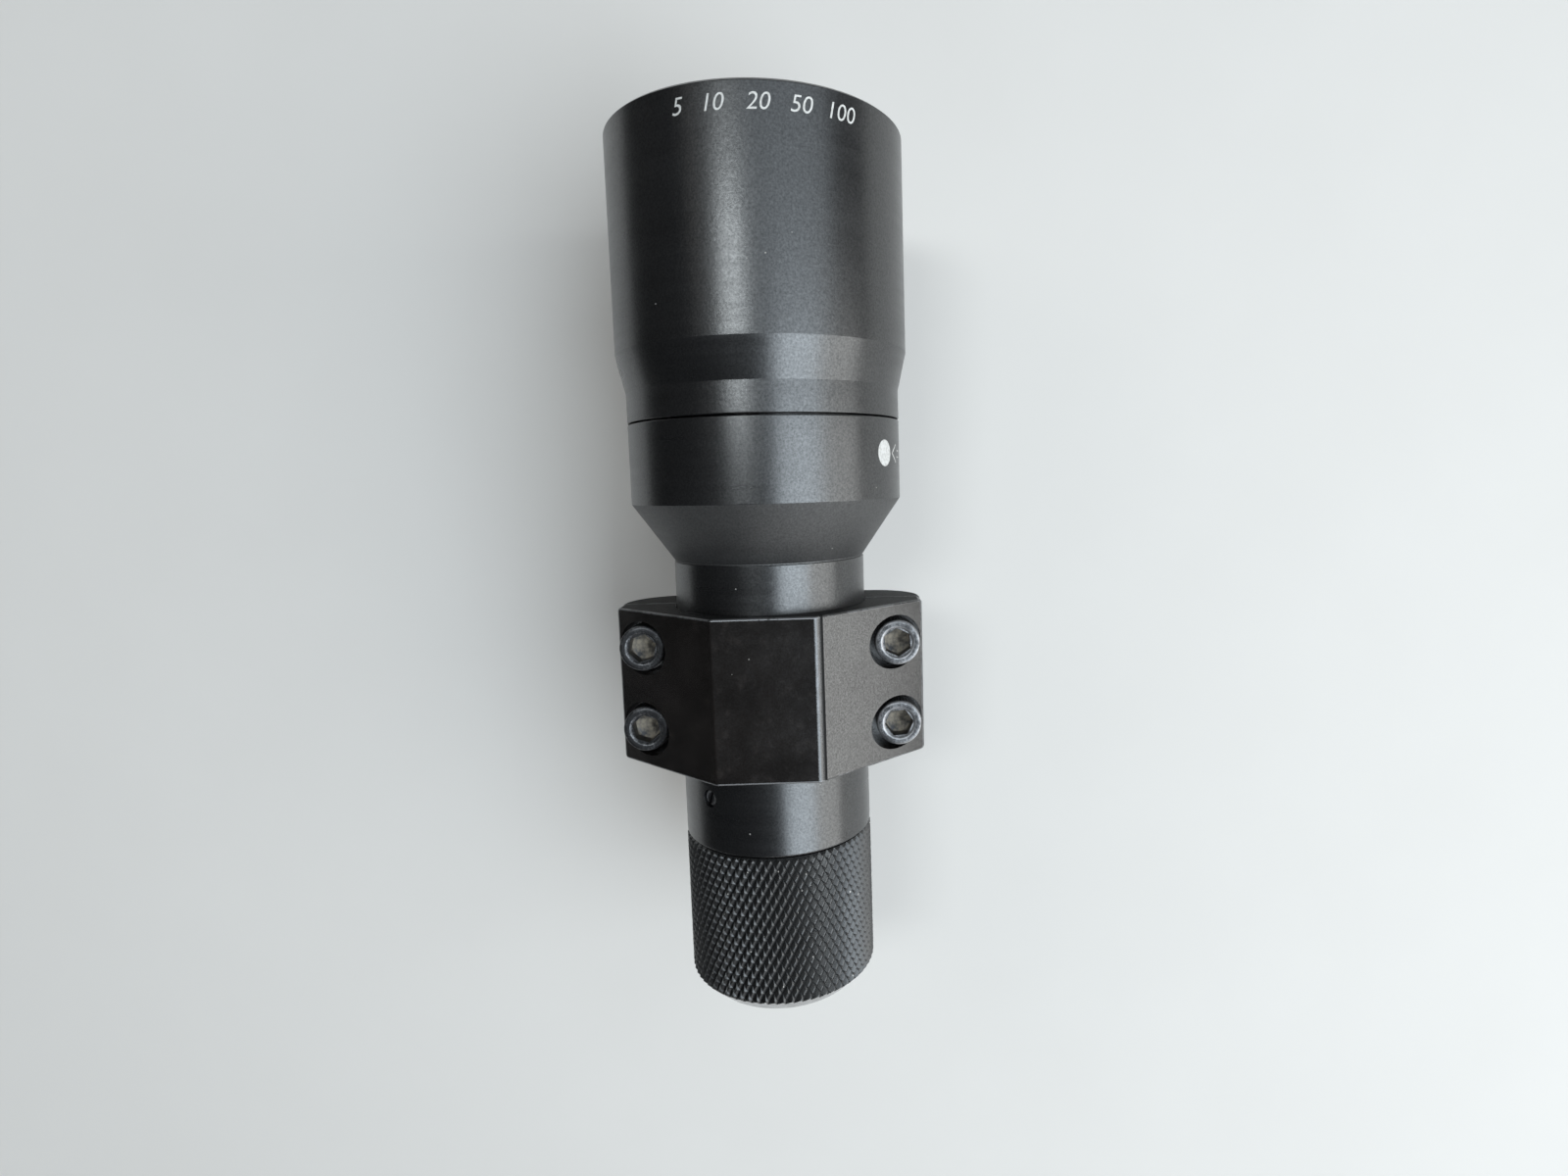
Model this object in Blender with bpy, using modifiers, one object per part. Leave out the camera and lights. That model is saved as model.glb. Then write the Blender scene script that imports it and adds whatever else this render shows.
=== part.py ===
"""Finder scope in a split ring clamp on a dovetail foot.

Frame: +X forward along the optical axis (towards the objective), +Z up,
+Y to the left.  The origin is the middle of the foot's flat underside, and
the optical axis runs AXIS_Z above it.  Lengths below are in millimetres and
are turned into metres by MM.
"""
import math

import bmesh
import bpy
from mathutils import Vector

MM = 0.001

# ---------------------------------------------------------------- dimensions
AXIS_Z = 38.0            # optical axis above the foot's underside
GAP = 0.3                # running clearance between neighbouring pieces

# body: index ring, cone and 30 mm tube in one turning
TUBE_R = 15.0
RING_R = 21.06
RING_FRONT_X = 40.2
RING_REAR_X = 28.3
CONE_END_X = 19.6
TUBE_REAR_X = -24.35
SPIGOT_R = 18.8          # front journal that the bell turns on
SPIGOT_FRONT_X = 62.6
SPIGOT_THREAD_X = 58.6
REAR_SPIGOT_R = 12.6     # rear journal that the knurled barrel turns on
REAR_SPIGOT_X = -40.2
REAR_THREAD_X = -37.2
TUBE_BORE_R = 13.0
FRONT_BORE_R = 16.7
REAR_BORE_R = 10.9
# slotted set screw through the tube wall, over the reticle's lock ring
SET_SCREW_X = -16.2
SET_SCREW_R = 1.25
SET_SCREW_AZIMUTH = math.radians(39.5)   # from +Z towards +Y

# focus bell
BELL_R = 22.35
BELL_FRONT_X = 82.3
BELL_SHOULDER_X = 50.5
BELL_CHAMFER_X = 44.85
BELL_REAR_X = 40.45
BELL_BORE_R = 19.1
BELL_HOOD_R = 20.6
BELL_FLANGE_X = 59.3

# focusing drive: bell turn to cell travel
FOCUS_TURN = math.radians(270.0)
FOCUS_TRAVEL = 6.0
FOCUS_PIN_X = 52.2
# dioptre drive: barrel turn to eyepiece travel
DIOPTRE_TURN = math.radians(270.0)
DIOPTRE_TRAVEL = 5.0
DIOPTRE_PIN_X = -31.2
PIN_R = 0.9

# knurled dioptre barrel
KNURL_R = 15.06
BARREL_FRONT_X = -24.65
BARREL_REAR_X = -47.9
BARREL_BORE_R = 12.9
BARREL_RECESS_R = 13.9
BARREL_FLANGE_X = -37.4

# ring clamp
CLAMP_HALF_LEN = 12.14
CLAMP_BORE_R = 15.3
SPLIT_HALF_GAP = 0.2
CAP_TOP = 17.47          # above the optical axis
CAP_TOP_HALF_W = 8.25
EAR_EDGE_Z = 3.45
EAR_HALF_W = 24.0
FLANGE_BOTTOM = -9.2
FLANGE_CORNER_R = 8.0
PEDESTAL_HALF_W = 13.4
SCREW_X = 6.35
SCREW_Y = 19.5
COUNTERBORE_R = 4.2
COUNTERBORE_Z = 3.4
CLEAR_HOLE_R = 2.3

# M4 socket head cap screws
HEAD_R = 3.5
HEAD_H = 4.0
SHANK_R = 2.0
SOCKET_AF = 3.9
SOCKET_DEPTH = 2.2

# dovetail foot
FOOT_H = 8.0
FOOT_BOTTOM_HALF_W = 16.0
FOOT_TOP_HALF_W = 13.4
FOOT_HALF_LEN = 22.5
FOOT_SCREW_X = 8.0

STEPS = 40               # facets round the large turned pieces
SMALL_STEPS = 24         # facets round the small turned pieces


# ------------------------------------------------------------------- helpers
for ob in list(bpy.data.objects):
    bpy.data.objects.remove(ob, do_unlink=True)
for block in (bpy.data.meshes, bpy.data.curves, bpy.data.materials):
    for item in list(block):
        if item.users == 0:
            block.remove(item)

PARTS = bpy.data.collections.new("finder_scope")
CUTTERS = bpy.data.collections.new("cutters")
bpy.context.scene.collection.children.link(PARTS)
bpy.context.scene.collection.children.link(CUTTERS)


def material(name, colour, rough, metal, alpha=1.0):
    mat = bpy.data.materials.get(name)
    if mat:
        return mat
    mat = bpy.data.materials.new(name)
    mat.use_nodes = True
    bsdf = mat.node_tree.nodes["Principled BSDF"]
    bsdf.inputs["Base Color"].default_value = (*colour, 1.0)
    bsdf.inputs["Roughness"].default_value = rough
    bsdf.inputs["Metallic"].default_value = metal
    bsdf.inputs["Alpha"].default_value = alpha
    mat.diffuse_color = (*colour, alpha)
    return mat


BLACK_BODY = ("anodised_body", (0.020, 0.021, 0.024), 0.38, 0.6)
BLACK_BELL = ("anodised_bell", (0.024, 0.025, 0.029), 0.36, 0.6)
BLACK_KNURL = ("anodised_knurl", (0.030, 0.031, 0.035), 0.42, 0.6)
BLACK_CLAMP = ("anodised_clamp", (0.026, 0.025, 0.026), 0.48, 0.5)
BLACK_FOOT = ("anodised_foot", (0.022, 0.022, 0.024), 0.48, 0.5)
BLACK_INNER = ("flat_black_inner", (0.010, 0.010, 0.010), 0.80, 0.0)
STEEL = ("black_oxide_screw", (0.060, 0.060, 0.065), 0.35, 0.9)
BRASS = ("brass_pin", (0.60, 0.42, 0.16), 0.30, 1.0)
GLASS = ("coated_glass", (0.55, 0.65, 0.62), 0.03, 0.0)
RUBBER = ("seal_rubber", (0.015, 0.015, 0.015), 0.70, 0.0)


def finish(ob, mat, collection=PARTS):
    collection.objects.link(ob)
    ob.data.materials.clear()
    ob.data.materials.append(material(*mat))
    return ob


def smooth(ob, angle=35.0):
    ob.data.shade_smooth()
    ob.data.set_sharp_from_angle(angle=math.radians(angle))


def turned(name, outer, inner, mat, steps=STEPS, collection=PARTS):
    """A turning about the optical axis.

    outer runs front to rear, inner runs rear to front, both as (x, radius).
    A profile that starts and ends on the axis is left open there."""
    points = list(outer) + list(inner)
    closed = points[0][1] > 0.0 or points[-1][1] > 0.0
    me = bpy.data.meshes.new(name)
    verts = [(r * MM, 0.0, x * MM) for x, r in points]
    edges = [(i, i + 1) for i in range(len(verts) - 1)]
    if closed:
        edges.append((len(verts) - 1, 0))
    me.from_pydata(verts, edges, [])
    ob = bpy.data.objects.new(name, me)
    ob.location = (0.0, 0.0, AXIS_Z * MM)
    ob.rotation_euler = (0.0, math.pi / 2.0, 0.0)
    mod = ob.modifiers.new("Turn", "SCREW")
    mod.axis = "Z"
    mod.angle = 2.0 * math.pi
    mod.steps = steps
    mod.render_steps = steps
    mod.use_merge_vertices = True
    mod.merge_threshold = 0.00001
    mod.use_smooth_shade = True
    return finish(ob, mat, collection)


def as_cutter(ob):
    ob.hide_render = True
    ob.display_type = "WIRE"
    return ob


def mesh_object(name, bm, mat, collection=PARTS):
    me = bpy.data.meshes.new(name)
    bmesh.ops.recalc_face_normals(bm, faces=bm.faces[:])
    bm.to_mesh(me)
    bm.free()
    return finish(bpy.data.objects.new(name, me), mat, collection)


def cylinder_cutter(name, centre, radius, depth, axis="Z", steps=32):
    bm = bmesh.new()
    bmesh.ops.create_cone(bm, cap_ends=True, segments=steps,
                          radius1=radius * MM, radius2=radius * MM, depth=depth * MM)
    ob = mesh_object(name, bm, BLACK_INNER, CUTTERS)
    ob.location = Vector(centre) * MM
    if axis == "X":
        ob.rotation_euler = (0.0, math.pi / 2.0, 0.0)
    elif axis == "Y":
        ob.rotation_euler = (math.pi / 2.0, 0.0, 0.0)
    return as_cutter(ob)


def box_cutter(name, centre, size):
    bm = bmesh.new()
    bmesh.ops.create_cube(bm, size=1.0)
    for v in bm.verts:
        v.co = Vector((v.co.x * size[0], v.co.y * size[1], v.co.z * size[2])) * MM
    ob = mesh_object(name, bm, BLACK_INNER, CUTTERS)
    ob.location = Vector(centre) * MM
    return as_cutter(ob)


def cut(ob, *cutters):
    for cutter in cutters:
        mod = ob.modifiers.new("Cut_" + cutter.name, "BOOLEAN")
        mod.operation = "DIFFERENCE"
        mod.solver = "EXACT"
        mod.object = cutter


def extruded(name, outline, half_len, mat, bevel=0.0):
    """A flat (y, z) outline drawn as a filled curve and extruded along X."""
    cu = bpy.data.curves.new(name + "_outline", "CURVE")
    cu.dimensions = "2D"
    cu.fill_mode = "BOTH"
    cu.extrude = half_len * MM
    sp = cu.splines.new("POLY")
    sp.points.add(len(outline) - 1)
    for p, (y, z) in zip(sp.points, outline):
        p.co = (y * MM, z * MM, 0.0, 1.0)
    sp.use_cyclic_u = True
    tmp = bpy.data.objects.new(name + "_outline", cu)
    PARTS.objects.link(tmp)
    bpy.context.view_layer.update()
    deps = bpy.context.evaluated_depsgraph_get()
    me = bpy.data.meshes.new_from_object(tmp.evaluated_get(deps))
    bm = bmesh.new()
    bm.from_mesh(me)
    bmesh.ops.remove_doubles(bm, verts=bm.verts[:], dist=0.000001)
    for v in bm.verts:                       # outline plane to YZ, depth to X
        y, z, x = v.co
        v.co = (x, y, z)
    bmesh.ops.recalc_face_normals(bm, faces=bm.faces[:])
    bmesh.ops.dissolve_limit(bm, angle_limit=math.radians(0.5),
                             verts=bm.verts[:], edges=bm.edges[:])
    bm.to_mesh(me)
    bm.free()
    bpy.data.objects.remove(tmp, do_unlink=True)
    me.name = name
    ob = finish(bpy.data.objects.new(name, me), mat)
    if bevel > 0.0:
        mod = ob.modifiers.new("Edges", "BEVEL")
        mod.width = bevel * MM
        mod.segments = 1
        mod.limit_method = "ANGLE"
        mod.angle_limit = math.radians(30.0)
    return ob


def helical_groove(name, x_mid, travel, turn, floor_r, top_r, width):
    """Cutter for the cam groove: a rectangular section wound about the axis.

    The middle of the groove faces straight down (-Z), where the pin is.  A
    turn of the sleeve by +angle about +X carries the pin forward, so the
    groove falls back as its own azimuth grows."""
    margin = math.radians(6.0)
    pitch = travel / turn
    sweep = turn + 2.0 * margin
    count = 36
    half_w = width / 2.0
    bm = bmesh.new()
    rings = []
    for i in range(count + 1):
        a = -sweep / 2.0 + sweep * i / count
        x = x_mid - pitch * a
        # a = 0 points to -Z; a grows from -Z towards +Y about +X
        radial = Vector((0.0, math.sin(a), -math.cos(a)))
        ring = []
        for r, dx in ((floor_r, -half_w), (top_r, -half_w), (top_r, half_w), (floor_r, half_w)):
            p = radial * r + Vector((x + dx, 0.0, AXIS_Z))
            ring.append(bm.verts.new(p * MM))
        rings.append(ring)
    for a, b in zip(rings, rings[1:]):
        for k in range(4):
            bm.faces.new((a[k], a[(k + 1) % 4], b[(k + 1) % 4], b[k]))
    bm.faces.new(rings[0])
    bm.faces.new(rings[-1])
    return as_cutter(mesh_object(name, bm, BLACK_INNER, CUTTERS))


def arc(cx, cz, r, a0, a1, count):
    return [(cx + r * math.cos(math.radians(a0 + (a1 - a0) * i / count)),
             cz + r * math.sin(math.radians(a0 + (a1 - a0) * i / count)))
            for i in range(count + 1)]


def lens(name, edge_r, front, rear, mat=GLASS, rings=4, steps=SMALL_STEPS):
    """A lens as (vertex x, radius of curvature); the sign follows optics:
    a positive front radius bulges forward, a negative rear radius bulges back,
    zero is flat."""
    def surface(vertex, radius, r):
        if radius == 0.0:
            return vertex
        sag = abs(radius) - math.sqrt(radius * radius - r * r)
        return vertex - math.copysign(sag, radius)
    radii = [edge_r * i / rings for i in range(rings + 1)]
    profile = [(surface(*front, r), r) for r in radii] if front[1] else \
              [(front[0], 0.0), (front[0], edge_r)]
    back = [(surface(*rear, r), r) for r in reversed(radii)] if rear[1] else \
           [(rear[0], edge_r), (rear[0], 0.0)]
    return turned(name, profile, back, mat, steps)


def cap_screw(name, x, y, z_seat, length, up=1.0):
    """Socket head cap screw; z_seat is the head's seat, up=1 head on top."""
    head = bmesh.new()
    c = 0.45
    bmesh.ops.create_cone(head, cap_ends=True, segments=16, radius1=HEAD_R * MM,
                          radius2=HEAD_R * MM, depth=(HEAD_H - c) * MM)
    bmesh.ops.translate(head, verts=head.verts[:], vec=(0, 0, (HEAD_H - c) / 2.0 * MM))
    top = [f for f in head.faces if f.normal.z > 0.9]
    ext = bmesh.ops.extrude_face_region(head, geom=top)
    moved = [g for g in ext["geom"] if isinstance(g, bmesh.types.BMVert)]
    bmesh.ops.delete(head, geom=top, context="FACES")
    scale = (HEAD_R - c) / HEAD_R
    for v in moved:
        v.co = Vector((v.co.x * scale, v.co.y * scale, v.co.z + c * MM))
    # shank continues from the seat face
    seat = [f for f in head.faces if f.normal.z < -0.9]
    ins = bmesh.ops.inset_region(head, faces=seat, thickness=(HEAD_R - SHANK_R) * MM)
    ext = bmesh.ops.extrude_face_region(head, geom=seat)
    moved = [g for g in ext["geom"] if isinstance(g, bmesh.types.BMVert)]
    bmesh.ops.delete(head, geom=seat, context="FACES")
    for v in moved:
        v.co.z -= length * MM
    ob = mesh_object(name, head, STEEL)
    ob.location = Vector((x, y, z_seat)) * MM
    if up < 0.0:
        ob.rotation_euler = (math.pi, 0.0, 0.0)
    sock = bmesh.new()
    radius = SOCKET_AF / 2.0 / math.cos(math.pi / 6.0)
    bmesh.ops.create_cone(sock, cap_ends=True, segments=6, radius1=radius * MM,
                          radius2=radius * MM, depth=2.0 * SOCKET_DEPTH * MM)
    cutter = as_cutter(mesh_object(name + "_socket", sock, BLACK_INNER, CUTTERS))
    cutter.location = Vector((x, y, z_seat + up * HEAD_H)) * MM
    cut(ob, cutter)
    return ob


# ---------------------------------------------------------------------- body
body = turned(
    "body_tube",
    [(SPIGOT_FRONT_X, 18.0), (SPIGOT_THREAD_X, 18.0), (SPIGOT_THREAD_X, SPIGOT_R),
     (45.6, SPIGOT_R), (45.6, 17.3), (43.7, 17.3), (43.7, SPIGOT_R),
     (RING_FRONT_X, SPIGOT_R), (RING_FRONT_X, RING_R - 0.15), (RING_FRONT_X - 0.15, RING_R),
     (RING_REAR_X, RING_R), (CONE_END_X, TUBE_R), (TUBE_REAR_X + 0.3, TUBE_R),
     (TUBE_REAR_X, TUBE_R - 0.3), (TUBE_REAR_X, REAR_SPIGOT_R),
     (-25.1, REAR_SPIGOT_R), (-25.1, 11.6), (-26.7, 11.6), (-26.7, REAR_SPIGOT_R),
     (REAR_THREAD_X, REAR_SPIGOT_R), (REAR_THREAD_X, 12.2), (REAR_SPIGOT_X, 12.2)],
    [(REAR_SPIGOT_X, REAR_BORE_R), (-24.0, REAR_BORE_R), (-24.0, TUBE_BORE_R),
     (19.0, TUBE_BORE_R), (27.0, 15.4), (30.7, 15.4), (30.7, FRONT_BORE_R),
     (SPIGOT_FRONT_X, FRONT_BORE_R)],
    BLACK_BODY)
focus_slot = box_cutter("focus_slot", (FOCUS_PIN_X, 0.0, AXIS_Z - 17.8),
                        (FOCUS_TRAVEL + 2.0 * (PIN_R + GAP), 2.0 * (PIN_R + GAP), 4.6))
dioptre_slot = box_cutter("dioptre_slot", (DIOPTRE_PIN_X, 0.0, AXIS_Z - 11.8),
                          (DIOPTRE_TRAVEL + 2.0 * (PIN_R + GAP), 2.0 * (PIN_R + GAP), 3.4))
cut(body, focus_slot, dioptre_slot)

# the set screw stands just under the tube's surface in its own hole
set_out = Vector((0.0, math.sin(SET_SCREW_AZIMUTH), math.cos(SET_SCREW_AZIMUTH)))
set_axis = Vector((SET_SCREW_X, 0.0, AXIS_Z))
set_hole = cylinder_cutter("set_screw_hole", set_axis + set_out * 14.2,
                           SET_SCREW_R + GAP, 4.4, "Z", 16)
set_hole.rotation_euler = (-SET_SCREW_AZIMUTH, 0.0, 0.0)
cut(body, set_hole)
set_bm = bmesh.new()
bmesh.ops.create_cone(set_bm, cap_ends=True, segments=16, radius1=SET_SCREW_R * MM,
                      radius2=SET_SCREW_R * MM, depth=1.7 * MM)
set_screw = mesh_object("reticle_set_screw", set_bm, STEEL)
set_screw.location = (set_axis + set_out * 13.95) * MM
set_screw.rotation_euler = (-SET_SCREW_AZIMUTH, 0.0, 0.0)
set_slot = box_cutter("set_screw_slot", set_axis + set_out * 14.8, (0.5, 3.4, 1.4))
set_slot.rotation_euler = (-SET_SCREW_AZIMUTH, 0.0, 0.0)
cut(set_screw, set_slot)

front_baffle = turned("front_baffle",
                      [(32.6, 11.6), (32.6, 16.4), (31.0, 16.4)], [(31.0, 11.9)],
                      BLACK_INNER, SMALL_STEPS)
rear_baffle = turned("rear_baffle",
                     [(3.4, 8.3), (3.4, 12.7), (1.4, 12.7)], [(1.4, 8.6)],
                     BLACK_INNER, SMALL_STEPS)

# ---------------------------------------------------------------- focus bell
bell = turned(
    "focus_bell",
    [(BELL_FRONT_X, BELL_R - 0.5), (BELL_FRONT_X - 0.5, BELL_R), (BELL_SHOULDER_X, BELL_R),
     (BELL_CHAMFER_X, RING_R), (BELL_REAR_X + 0.15, RING_R), (BELL_REAR_X, RING_R - 0.15)],
    [(BELL_REAR_X, BELL_BORE_R), (BELL_FLANGE_X, BELL_BORE_R), (BELL_FLANGE_X, BELL_HOOD_R),
     (BELL_FRONT_X - 0.3, BELL_HOOD_R), (BELL_FRONT_X, BELL_HOOD_R + 0.3)],
    BLACK_BELL)
cut(bell, helical_groove("focus_groove", FOCUS_PIN_X, FOCUS_TRAVEL, FOCUS_TURN,
                         18.3, 20.4, 2.0 * (PIN_R + GAP)))

bell_retainer = turned(
    "bell_retaining_ring",
    [(62.0, 18.4), (62.0, 20.0), (61.7, 20.3), (59.6, 20.3)], [(59.6, 18.3)], BLACK_BODY)
bell_oring = turned("bell_seal_ring",
                    [(44.65 + 0.62 * math.cos(2 * math.pi * i / 6),
                      18.1 + 0.62 * math.sin(2 * math.pi * i / 6)) for i in range(6)],
                    [], RUBBER, 32)

# ------------------------------------------------------------ objective cell
cell = turned(
    "objective_cell",
    [(64.5, 15.0), (64.5, 16.2), (64.3, 16.4), (46.4, 16.4)],
    [(46.4, 14.0), (49.0, 13.6), (53.8, 13.6), (53.8, 14.9), (64.3, 14.9)],
    BLACK_INNER, SMALL_STEPS)
cut(cell, cylinder_cutter("focus_pin_hole", (FOCUS_PIN_X, 0.0, AXIS_Z - 15.5),
                          PIN_R + 0.15, 6.0, "Z", 16))
flint = lens("objective_flint_lens", 14.6, (55.54, -36.0), (53.34, -140.0))
crown = lens("objective_crown_lens", 14.6, (63.14, 48.0), (56.54, -36.0))
spacer = turned("lens_spacer_ring", [(59.33, 14.6), (58.93, 14.6)],
                [(58.55, 13.7), (58.95, 13.7)], BLACK_INNER, SMALL_STEPS)
objective_ring = turned("objective_retaining_ring",
                        [(63.6, 13.9), (63.6, 14.6), (61.6, 14.6)], [(61.6, 13.4)],
                        BLACK_INNER, SMALL_STEPS)


def guide_pin(name, x, r_in, r_out):
    bm = bmesh.new()
    bmesh.ops.create_cone(bm, cap_ends=True, segments=12, radius1=PIN_R * MM,
                          radius2=PIN_R * MM, depth=(r_out - r_in) * MM)
    ob = mesh_object(name, bm, BRASS)
    ob.location = (x * MM, 0.0, (AXIS_Z - (r_in + r_out) / 2.0) * MM)
    smooth(ob)
    return ob


guide_pin("focus_guide_pin", FOCUS_PIN_X, 14.0, 20.1)

# ------------------------------------------------------------------- reticle
holder = turned("reticle_holder",
                [(-18.7, 9.95), (-18.7, 12.7), (-23.7, 12.7)],
                [(-23.7, 8.6), (-22.5, 8.6), (-22.5, 9.95)], BLACK_INNER, SMALL_STEPS)
reticle = lens("reticle_glass", 9.65, (-20.6, 0.0), (-22.2, 0.0))
reticle_ring = turned("reticle_retaining_ring",
                      [(-18.9, 8.7), (-18.9, 9.65), (-20.3, 9.65)], [(-20.3, 8.7)],
                      BLACK_INNER, SMALL_STEPS)
lock_ring = turned("reticle_lock_ring",
                   [(-15.6, 9.6), (-15.6, 12.7), (-18.4, 12.7)], [(-18.4, 9.6)],
                   BLACK_INNER, SMALL_STEPS)

# ----------------------------------------------------- knurled dioptre barrel
barrel = turned(
    "dioptre_barrel",
    [(BARREL_FRONT_X, KNURL_R - 0.35), (BARREL_FRONT_X - 0.35, KNURL_R),
     (BARREL_REAR_X + 0.6, KNURL_R), (BARREL_REAR_X, KNURL_R - 0.6)],
    [(BARREL_REAR_X, BARREL_RECESS_R - 0.1), (BARREL_REAR_X + 0.1, BARREL_RECESS_R),
     (BARREL_FLANGE_X, BARREL_RECESS_R),
     (BARREL_FLANGE_X, BARREL_BORE_R), (BARREL_FRONT_X, BARREL_BORE_R)],
    BLACK_KNURL)
cut(barrel, helical_groove("dioptre_groove", DIOPTRE_PIN_X, DIOPTRE_TRAVEL, DIOPTRE_TURN,
                           12.3, 13.9, 2.0 * (PIN_R + GAP)))
barrel_ring = turned("barrel_retaining_ring",
                     [(-37.7, 12.5), (-37.7, 13.6), (-39.7, 13.6)], [(-39.7, 12.5)],
                     BLACK_BODY, SMALL_STEPS)
barrel_oring = turned("barrel_seal_ring",
                      [(-25.9 + 0.42 * math.cos(2 * math.pi * i / 6),
                        12.22 + 0.42 * math.sin(2 * math.pi * i / 6)) for i in range(6)],
                      [], RUBBER, 32)
# its flange carries the barrel's rear cone on to the end of the scope
eye_ring = turned("eye_ring",
                  [(-46.0, 9.2), (-46.0, 13.6), (-48.0, 13.6), (-48.0, 14.36), (-49.8, 12.56)],
                  [(-49.8, 11.8)], BLACK_BODY, SMALL_STEPS)

# ------------------------------------------------------------- eyepiece cell
eye_cell = turned(
    "eyepiece_cell",
    [(-27.0, 8.4), (-27.0, 10.6), (-43.0, 10.6)],
    [(-43.0, 9.5), (-28.2, 9.5), (-28.2, 8.4)], BLACK_INNER, SMALL_STEPS)
cut(eye_cell, cylinder_cutter("dioptre_pin_hole", (DIOPTRE_PIN_X, 0.0, AXIS_Z - 10.4),
                              PIN_R + 0.15, 4.0, "Z", 16))
field_lens = lens("field_lens", 9.2, (-28.5, 0.0), (-32.5, -22.0))
eye_spacer = turned("eyepiece_spacer_tube",
                    [(-31.2, 8.3), (-31.2, 9.2), (-37.1, 9.2)], [(-37.1, 8.3)],
                    BLACK_INNER, SMALL_STEPS)
eye_lens = lens("eye_lens", 9.2, (-35.6, 20.0), (-40.0, 0.0))
eye_retainer = turned("eyepiece_retaining_ring",
                      [(-40.3, 8.2), (-40.3, 9.2), (-42.6, 9.2)], [(-42.6, 8.2)],
                      BLACK_INNER, SMALL_STEPS)
guide_pin("dioptre_guide_pin", DIOPTRE_PIN_X, 9.7, 13.6)

# ---------------------------------------------------------------- ring clamp
cap_outline = ([(-EAR_HALF_W, SPLIT_HALF_GAP), (-EAR_HALF_W, EAR_EDGE_Z),
                (-CAP_TOP_HALF_W, CAP_TOP), (CAP_TOP_HALF_W, CAP_TOP),
                (EAR_HALF_W, EAR_EDGE_Z), (EAR_HALF_W, SPLIT_HALF_GAP)])
cap = extruded("clamp_cap", [(y, z + AXIS_Z) for y, z in cap_outline],
               CLAMP_HALF_LEN, BLACK_CLAMP, bevel=0.35)

corner = arc(EAR_HALF_W - FLANGE_CORNER_R, FLANGE_BOTTOM + FLANGE_CORNER_R,
             FLANGE_CORNER_R, 0.0, -90.0, 8)
right_side = [(-y, z) for y, z in corner]
base_outline = ([(EAR_HALF_W, -SPLIT_HALF_GAP)] + corner +
                [(PEDESTAL_HALF_W, FLANGE_BOTTOM - 1.4),
                 (PEDESTAL_HALF_W, FOOT_H + GAP - AXIS_Z),
                 (-PEDESTAL_HALF_W, FOOT_H + GAP - AXIS_Z),
                 (-PEDESTAL_HALF_W, FLANGE_BOTTOM - 1.4)] +
                right_side[::-1] + [(-EAR_HALF_W, -SPLIT_HALF_GAP)])
base = extruded("clamp_base", [(y, z + AXIS_Z) for y, z in base_outline],
                CLAMP_HALF_LEN, BLACK_CLAMP, bevel=0.3)

bore = cylinder_cutter("clamp_bore", (0.0, 0.0, AXIS_Z), CLAMP_BORE_R, 40.0, "X", 48)
cut(cap, bore)
cut(base, bore)
for i, (sx, sy) in enumerate(((1, 1), (1, -1), (-1, 1), (-1, -1)), start=1):
    x, y = sx * SCREW_X, sy * SCREW_Y
    hole = cylinder_cutter(f"clamp_hole_{i}", (x, y, AXIS_Z - 2.0), CLEAR_HOLE_R, 24.0, "Z", 16)
    pocket = cylinder_cutter(f"clamp_pocket_{i}", (x, y, AXIS_Z + COUNTERBORE_Z + 8.0),
                             COUNTERBORE_R, 16.0, "Z", 24)
    cut(cap, pocket, hole)
    cut(base, hole)

for label, sx, sy in (("front_left", 1, 1), ("front_right", 1, -1),
                      ("rear_left", -1, 1), ("rear_right", -1, -1)):
    cap_screw(f"clamp_screw_{label}", sx * SCREW_X, sy * SCREW_Y,
              AXIS_Z + COUNTERBORE_Z + GAP, 11.0)

# ------------------------------------------------------------- dovetail foot
foot_outline = [(-FOOT_BOTTOM_HALF_W, 0.0), (FOOT_BOTTOM_HALF_W, 0.0),
                (FOOT_BOTTOM_HALF_W, 1.2), (FOOT_TOP_HALF_W, FOOT_H),
                (-FOOT_TOP_HALF_W, FOOT_H), (-FOOT_BOTTOM_HALF_W, 1.2)]
foot = extruded("dovetail_foot", foot_outline, FOOT_HALF_LEN, BLACK_FOOT, bevel=0.3)
for label, sx in (("front", 1), ("rear", -1)):
    hole = cylinder_cutter(f"foot_hole_{label}", (sx * FOOT_SCREW_X, 0.0, 8.0),
                           CLEAR_HOLE_R, 20.0, "Z", 16)
    pocket = cylinder_cutter(f"foot_pocket_{label}", (sx * FOOT_SCREW_X, 0.0, 0.0),
                             COUNTERBORE_R, 9.6, "Z", 24)
    cut(foot, pocket, hole)
    cut(base, hole)
    cap_screw(f"foot_screw_{label}", sx * FOOT_SCREW_X, 0.0, 4.8 - GAP, 12.0, up=-1.0)
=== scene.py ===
"""Finder scope: the looks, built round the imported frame.

Frame as in the CAD: metres, +X along the optical axis towards the objective,
+Z up, +Y to the left, the optical axis 38 mm above the foot's underside.
Sizes in the tables below are millimetres along and from the optical axis.
"""

import math

import bmesh
import bpy
import numpy as np
from mathutils import Matrix, Vector, noise


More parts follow.
